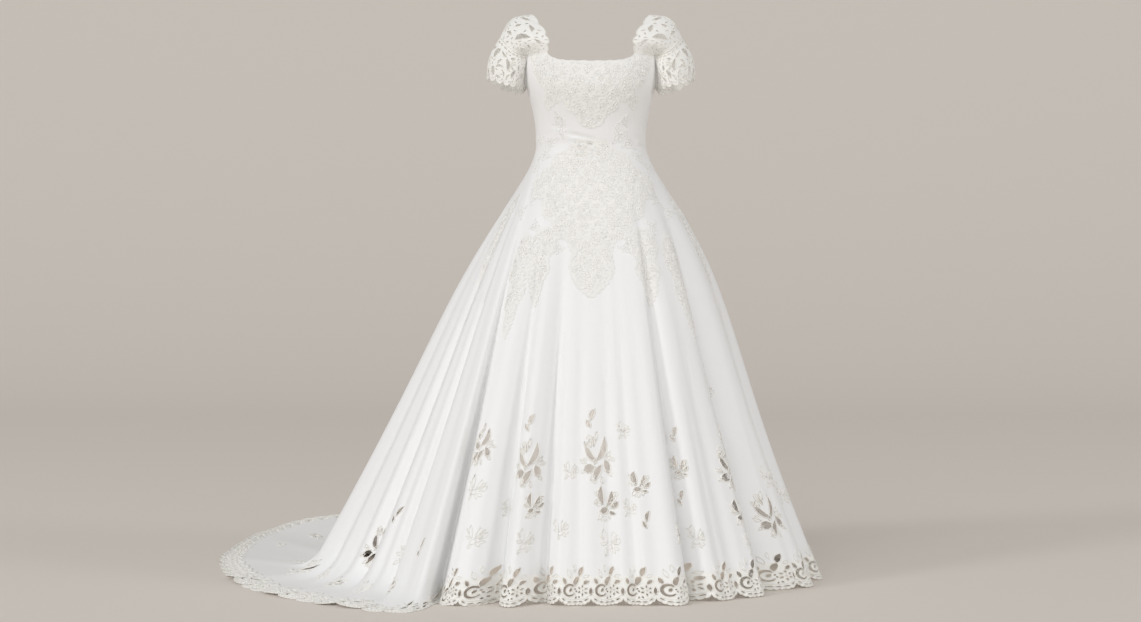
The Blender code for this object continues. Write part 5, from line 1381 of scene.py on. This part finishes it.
def lay_out_sleeves(net, cords):
    """Fine net of the two short sleeves."""
    start = STRAP_SHARE / 2
    scallops = round(SLEEVE_ROUND / SLEEVE_SCALLOP_PITCH / 2) * 2
    hem = start + np.arange(SLEEVE_STEPS * scallops + 1) / (SLEEVE_STEPS * scallops)
    wave = np.abs(np.sin(np.pi * scallops * (hem - start)))
    fine = np.abs(np.sin(np.pi * scallops * SLEEVE_PICOTS * (hem - start)))
    depth = 1.0 - SLEEVE_SCALLOP_DEPTH * (1 - wave ** 0.8) - SLEEVE_PICOT_DEPTH * (1 - fine)
    over = np.linspace(0, 1, 49) * STRAP_SHARE
    under = STRAP_SHARE + (1 - STRAP_SHARE) * np.arange(1, 24) / 24
    top = pairs(np.concatenate([over[24:], under, 1 + over[:25]]), 0.0)
    low = pairs(hem, -depth)
    right = pairs(start + 1, -np.linspace(0, 1, 20)[1:-1] * depth[0])
    scale = (SLEEVE_ROUND, SLEEVE_LENGTH)
    outline = np.concatenate([low, right[::-1], top[::-1], right - (1, 0)]) * scale
    split = start + 0.5
    seam = pairs(split, np.linspace(0, -depth[SLEEVE_STEPS // 2 * scallops], 20)) * scale
    # A row of small gaps close to the strap, in millimetres like the tables
    beside = [(x, -7, 11, 4, 0, 0) for x in range(8, 130, 15)]
    large = []
    for x, y, length, width, turn, bend in [*rows_of(SLEEVE_GAPS), *beside]:
        forward = ((start + 1) * SLEEVE_ROUND - x / 1000, y / 1000)
        backward = (start * SLEEVE_ROUND + x / 1000, y / 1000)
        large.append(leaf(forward, length / 1000, width / 1000, 180 - turn, -bend, 4))
        large.append(leaf(backward, length / 1000, width / 1000, turn, bend, 4))
    seam_x = split * SLEEVE_ROUND
    gaps = [gap for gap in net_lace(cords, "sleeve", outline, large)
            if abs(gap[:, 0].mean() - seam_x) > SLEEVE_SEAM_CLEAR
            and gap[:, 0].min() > start * SLEEVE_ROUND + SLEEVE_END_CLEAR
            and gap[:, 0].max() < (start + 1) * SLEEVE_ROUND - SLEEVE_END_CLEAR]
    cords.add("sleeve", "sleeve edge", (low * scale)[:-1] + (0.0, 0.0009), False)
    row = pairs(hem * SLEEVE_ROUND, -SLEEVE_LENGTH * (SLEEVE_ROW - SLEEVE_ROW_WAVE * (1 - wave)))
    cords.add("sleeve", "sleeve row", row[:-1], False)
    dots = np.array([(x, -y) for x in np.arange(start * SLEEVE_ROUND, (start + 1) * SLEEVE_ROUND, LACE_STEP)
                     for y in np.arange(0.004, SLEEVE_LENGTH, LACE_STEP)])
    flat, faces, middle = cut_out(outline, gaps, [], [seam], dots, LACE_CLEAR)
    names = ["sleeve_left_back" if x < seam_x else "sleeve_left_front" for x in middle[:, 0]]
    net.add_pair(flat, sleeve_flat(*flat.T), faces, names)


def make_buttons(material):
    """Small covered buttons down the centre back seam."""
    shape = bmesh.new()
    for number in range(BUTTONS):
        height = BUTTON_TOP - number * BUTTON_PITCH
        spot = bodice_point(np.array([180.0]), np.array([height]))[0]
        _, back, up = bodice_point(np.array([180.0]), np.array([height + 0.004]))[0] - spot
        outward = Vector((0.0, up, -back)).normalized()
        turned = outward.to_track_quat("Z", "Y").to_matrix().to_4x4()
        turned.translation = Vector(spot) + outward * (BUTTON_HEIGHT + BUTTON_LIFT)
        made = bmesh.ops.create_uvsphere(shape, u_segments=16, v_segments=10, radius=BUTTON_RADIUS)
        bmesh.ops.scale(shape, vec=(1.0, 1.0, BUTTON_HEIGHT / BUTTON_RADIUS), verts=made["verts"])
        bmesh.ops.transform(shape, matrix=turned, verts=made["verts"])
    mesh = bpy.data.meshes.new("back_buttons")
    shape.to_mesh(mesh)
    shape.free()
    piece = new_piece("back_buttons", mesh, material)
    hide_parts(*[f"back_button_{number + 1:02d}" for number in range(BUTTONS)])


def srgb(code, share=1.0):
    """Linear colour of a hex code as it looks on a screen, darkened to a share."""
    parts = [int(code[i:i + 2], 16) / 255 for i in (1, 3, 5)]
    parts = [p / 12.92 if p <= 0.04045 else ((p + 0.055) / 1.055) ** 2.4 for p in parts]
    return (*[share * p for p in parts], 1.0)


def add_node(tree, kind, settings=(), links=()):
    """Add a node, set its inputs or settings by name and link other sockets into it."""
    node = tree.nodes.new(kind)
    for name, value in dict(settings).items():
        if hasattr(node, name):
            setattr(node, name, value)
        else:
            node.inputs[name].default_value = value
    for name, source in dict(links).items():
        tree.links.new(source, node.inputs[name])
    return node


def new_material(name, colour, values):
    """Principled material with its plain values set."""
    material = bpy.data.materials.new(name)
    material.use_nodes = True
    shader = material.node_tree.nodes["Principled BSDF"]
    shader.inputs["Base Color"].default_value = srgb(colour)
    for key, value in values.items():
        shader.inputs[key].default_value = value
    return material, material.node_tree, shader


def add_relief(tree, shader, coarse, coarse_height, fine, fine_height):
    """Coarse bumps with fine ones on them, from the settings and the height of each."""
    low = add_node(tree, "ShaderNodeBump", coarse, {"Height": coarse_height})
    high = add_node(tree, "ShaderNodeBump", fine,
                    {"Height": fine_height, "Normal": low.outputs["Normal"]})
    tree.links.new(high.outputs["Normal"], shader.inputs["Normal"])


def satin_material():
    """White duchess satin, woven with long floats: a smooth, soft shine in the folds."""
    material, tree, shader = new_material("white_satin_woven", "#F7F7F7", {
        "Roughness": 0.46, "Specular IOR Level": 0.35, "Sheen Weight": 0.18, "Sheen Roughness": 0.45})
    flat = add_node(tree, "ShaderNodeUVMap", {"uv_map": "flat"}).outputs["UV"]
    drawn = add_node(tree, "ShaderNodeMapping", {"Scale": (1.0, 0.22, 1.0)}, {"Vector": flat})
    soft = add_node(tree, "ShaderNodeTexNoise", {"Scale": 55.0, "Detail": 3.0, "Roughness": 0.55},
                    {"Vector": drawn.outputs["Vector"]})
    weave = add_node(tree, "ShaderNodeTexNoise", {"Scale": 1600.0, "Detail": 1.0}, {"Vector": flat})
    add_relief(tree, shader, {"Strength": 0.16, "Distance": 0.004}, soft.outputs["Fac"],
               {"Strength": 0.05, "Distance": 0.0004}, weave.outputs["Fac"])
    return material


def lace_material(name, colour, strength, painted_shade_share):
    """Corded lace on net: matt thread with raised petals, and painted shade between the petals, where the
    holes and hollows of the net lie.
    """
    material, tree, shader = new_material(name, colour, {
        "Roughness": 0.78, "Specular IOR Level": 0.25, "Sheen Weight": 0.12, "Sheen Roughness": 0.5})
    flat = add_node(tree, "ShaderNodeUVMap", {"uv_map": "flat"}).outputs["UV"]
    petals = add_node(tree, "ShaderNodeTexVoronoi",
                      {"Scale": 150.0, "feature": "SMOOTH_F1", "Smoothness": 0.4}, {"Vector": flat})
    thread = add_node(tree, "ShaderNodeTexNoise", {"Scale": 900.0, "Detail": 2.0}, {"Vector": flat})
    ramp = add_node(tree, "ShaderNodeValToRGB", {}, {"Fac": petals.outputs["Distance"]})
    # Painted shade: the colour is darker between the petals, where the holes of the net lie in shade.
    for stop, position, share in zip(ramp.color_ramp.elements, (0.25, 0.75), (1.0, painted_shade_share)):
        stop.position = position
        stop.color = srgb(colour, share)
    tree.links.new(ramp.outputs["Color"], shader.inputs["Base Color"])
    add_relief(tree, shader, {"Strength": strength, "Distance": 0.0012, "invert": True},
               petals.outputs["Distance"], {"Strength": 0.3, "Distance": 0.0004},
               thread.outputs["Fac"])
    return material


def cord_material(name, colour):
    """Twisted rayon cord that outlines the lace: a little shine on each ridge."""
    return new_material(name, colour, {
        "Roughness": 0.5, "Specular IOR Level": 0.35, "Sheen Weight": 0.1})[0]


def stage_object(name, data, spot=(0.0, 0.0, 0.0), way=None):
    """Object of the stage, turned to look along a way."""
    made = bpy.data.objects.new(name, data)
    made.location = spot
    if way is not None:
        made.rotation_euler = Vector(way).to_track_quat("-Z", "Y").to_euler()
    bpy.context.scene.collection.objects.link(made)


def make_stage():
    """Plain pale floor that rises into the backdrop, soft lights and the camera."""
    floor = -SHOULDER_HEIGHT
    steps = [(-STAGE_SIDE, floor), (PAPER_BEND_START, floor)]
    for turn in range(1, PAPER_BEND_STEPS + 1):
        angle = math.radians(90 * turn / PAPER_BEND_STEPS)
        steps.append((PAPER_BEND_START + PAPER_BEND_RADIUS * math.sin(angle),
                      floor + PAPER_BEND_RADIUS * (1 - math.cos(angle))))
    steps.append((PAPER_BEND_START + PAPER_BEND_RADIUS, floor + 2 * PAPER_BEND_RADIUS))
    verts = [(x, y, z) for y, z in steps for x in (-STAGE_SIDE, STAGE_SIDE)]
    faces = [(2 * i, 2 * i + 1, 2 * i + 3, 2 * i + 2) for i in range(len(steps) - 1)]
    mesh = bpy.data.meshes.new("backdrop")
    mesh.from_pydata(verts, [], faces)
    mesh.shade_smooth()
    paper, _, _ = new_material("warm_grey_paper", "#E3DCD4", {"Roughness": 0.95, "Specular IOR Level": 0.05})
    mesh.materials.append(paper)
    stage_object("backdrop", mesh)
    scene = bpy.context.scene
    world = bpy.data.worlds.new("soft_room")
    scene.world = world
    world.use_nodes = True
    world.node_tree.nodes["Background"].inputs["Color"].default_value = srgb("#FAFAFA")
    world.node_tree.nodes["Background"].inputs["Strength"].default_value = WORLD_STRENGTH
    window = bpy.data.lights.new("window", "SUN")
    window.energy = WINDOW_STRENGTH
    window.angle = math.radians(WINDOW_ANGLE)
    stage_object("window", window, way=WINDOW_WAY)
    for name, spot, aim, size, power, tint in LIGHTS:
        light = bpy.data.lights.new(name, "AREA")
        light.shape = "RECTANGLE"
        light.size, light.size_y = size
        light.energy = power
        light.color = srgb(tint)[:3]
        stage_object(name, light, spot, Vector(aim) - Vector(spot))
    scene.view_settings.view_transform = "Standard"
    lens = bpy.data.cameras.new("photo_view")
    lens.sensor_width = SENSOR_WIDTH
    lens.lens = SENSOR_WIDTH * FOCAL_LENGTH / PHOTO_WIDTH
    lens.shift_x = PHOTO_SHIFT / PHOTO_WIDTH
    camera = bpy.data.objects.new("photo_view", lens)
    camera.location = (0.0, -CAMERA_DISTANCE, CAMERA_HEIGHT - SHOULDER_HEIGHT)
    camera.rotation_euler = (math.radians(90), 0.0, 0.0)
    scene.collection.objects.link(camera)
    scene.camera = camera


satin = satin_material()
# The last number darkens the lace between its petals, a painted shade of the net's holes.
lace = lace_material("ivory_lace_corded", "#FAF9F5", 0.3, 0.97)
laid = lace_material("white_lace_laid", "#FAF9F6", 0.8, 0.93)
cord = cord_material("ivory_rayon_cord", "#FAF8F2")
white_cord = cord_material("white_rayon_cord", "#FBFAF7")
net = Net()
hem_cords = Cords()
motif_cords = Cords()
laid_cords = Cords()
sleeve_cords = Cords()
lay_out_bodice(net, laid_cords)
lay_out_skirt(net, hem_cords, motif_cords, laid_cords)
lay_out_straps(net, sleeve_cords)
lay_out_sleeves(net, sleeve_cords)
net.weld()
pieces = {}
for name in sorted(set(net.names)):
    keep = net.names == name
    if name.startswith(("hem", "strap", "sleeve")):
        pieces[name] = net.shell(name + "_cloth", keep, 0.0, -LACE_WALL, lace)
    else:
        pieces[name] = net.shell(name + "_cloth", keep, 0.0, -SATIN_WALL, satin)
for name in sorted(set(net.laces) - {""}):
    keep = net.laces == name
    pieces[name] = net.shell(name + "_cloth", keep, LAID_HIGH, LAID_LOW, laid)
hem_cords.build("hem_cords", cord)
motif_cords.build("motif_cords", cord)
laid_cords.build("laid_cords", white_cord)
sleeve_cords.build("sleeve_cords", cord)
make_buttons(satin)
for name, piece in pieces.items():
    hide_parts(name)
make_stage()
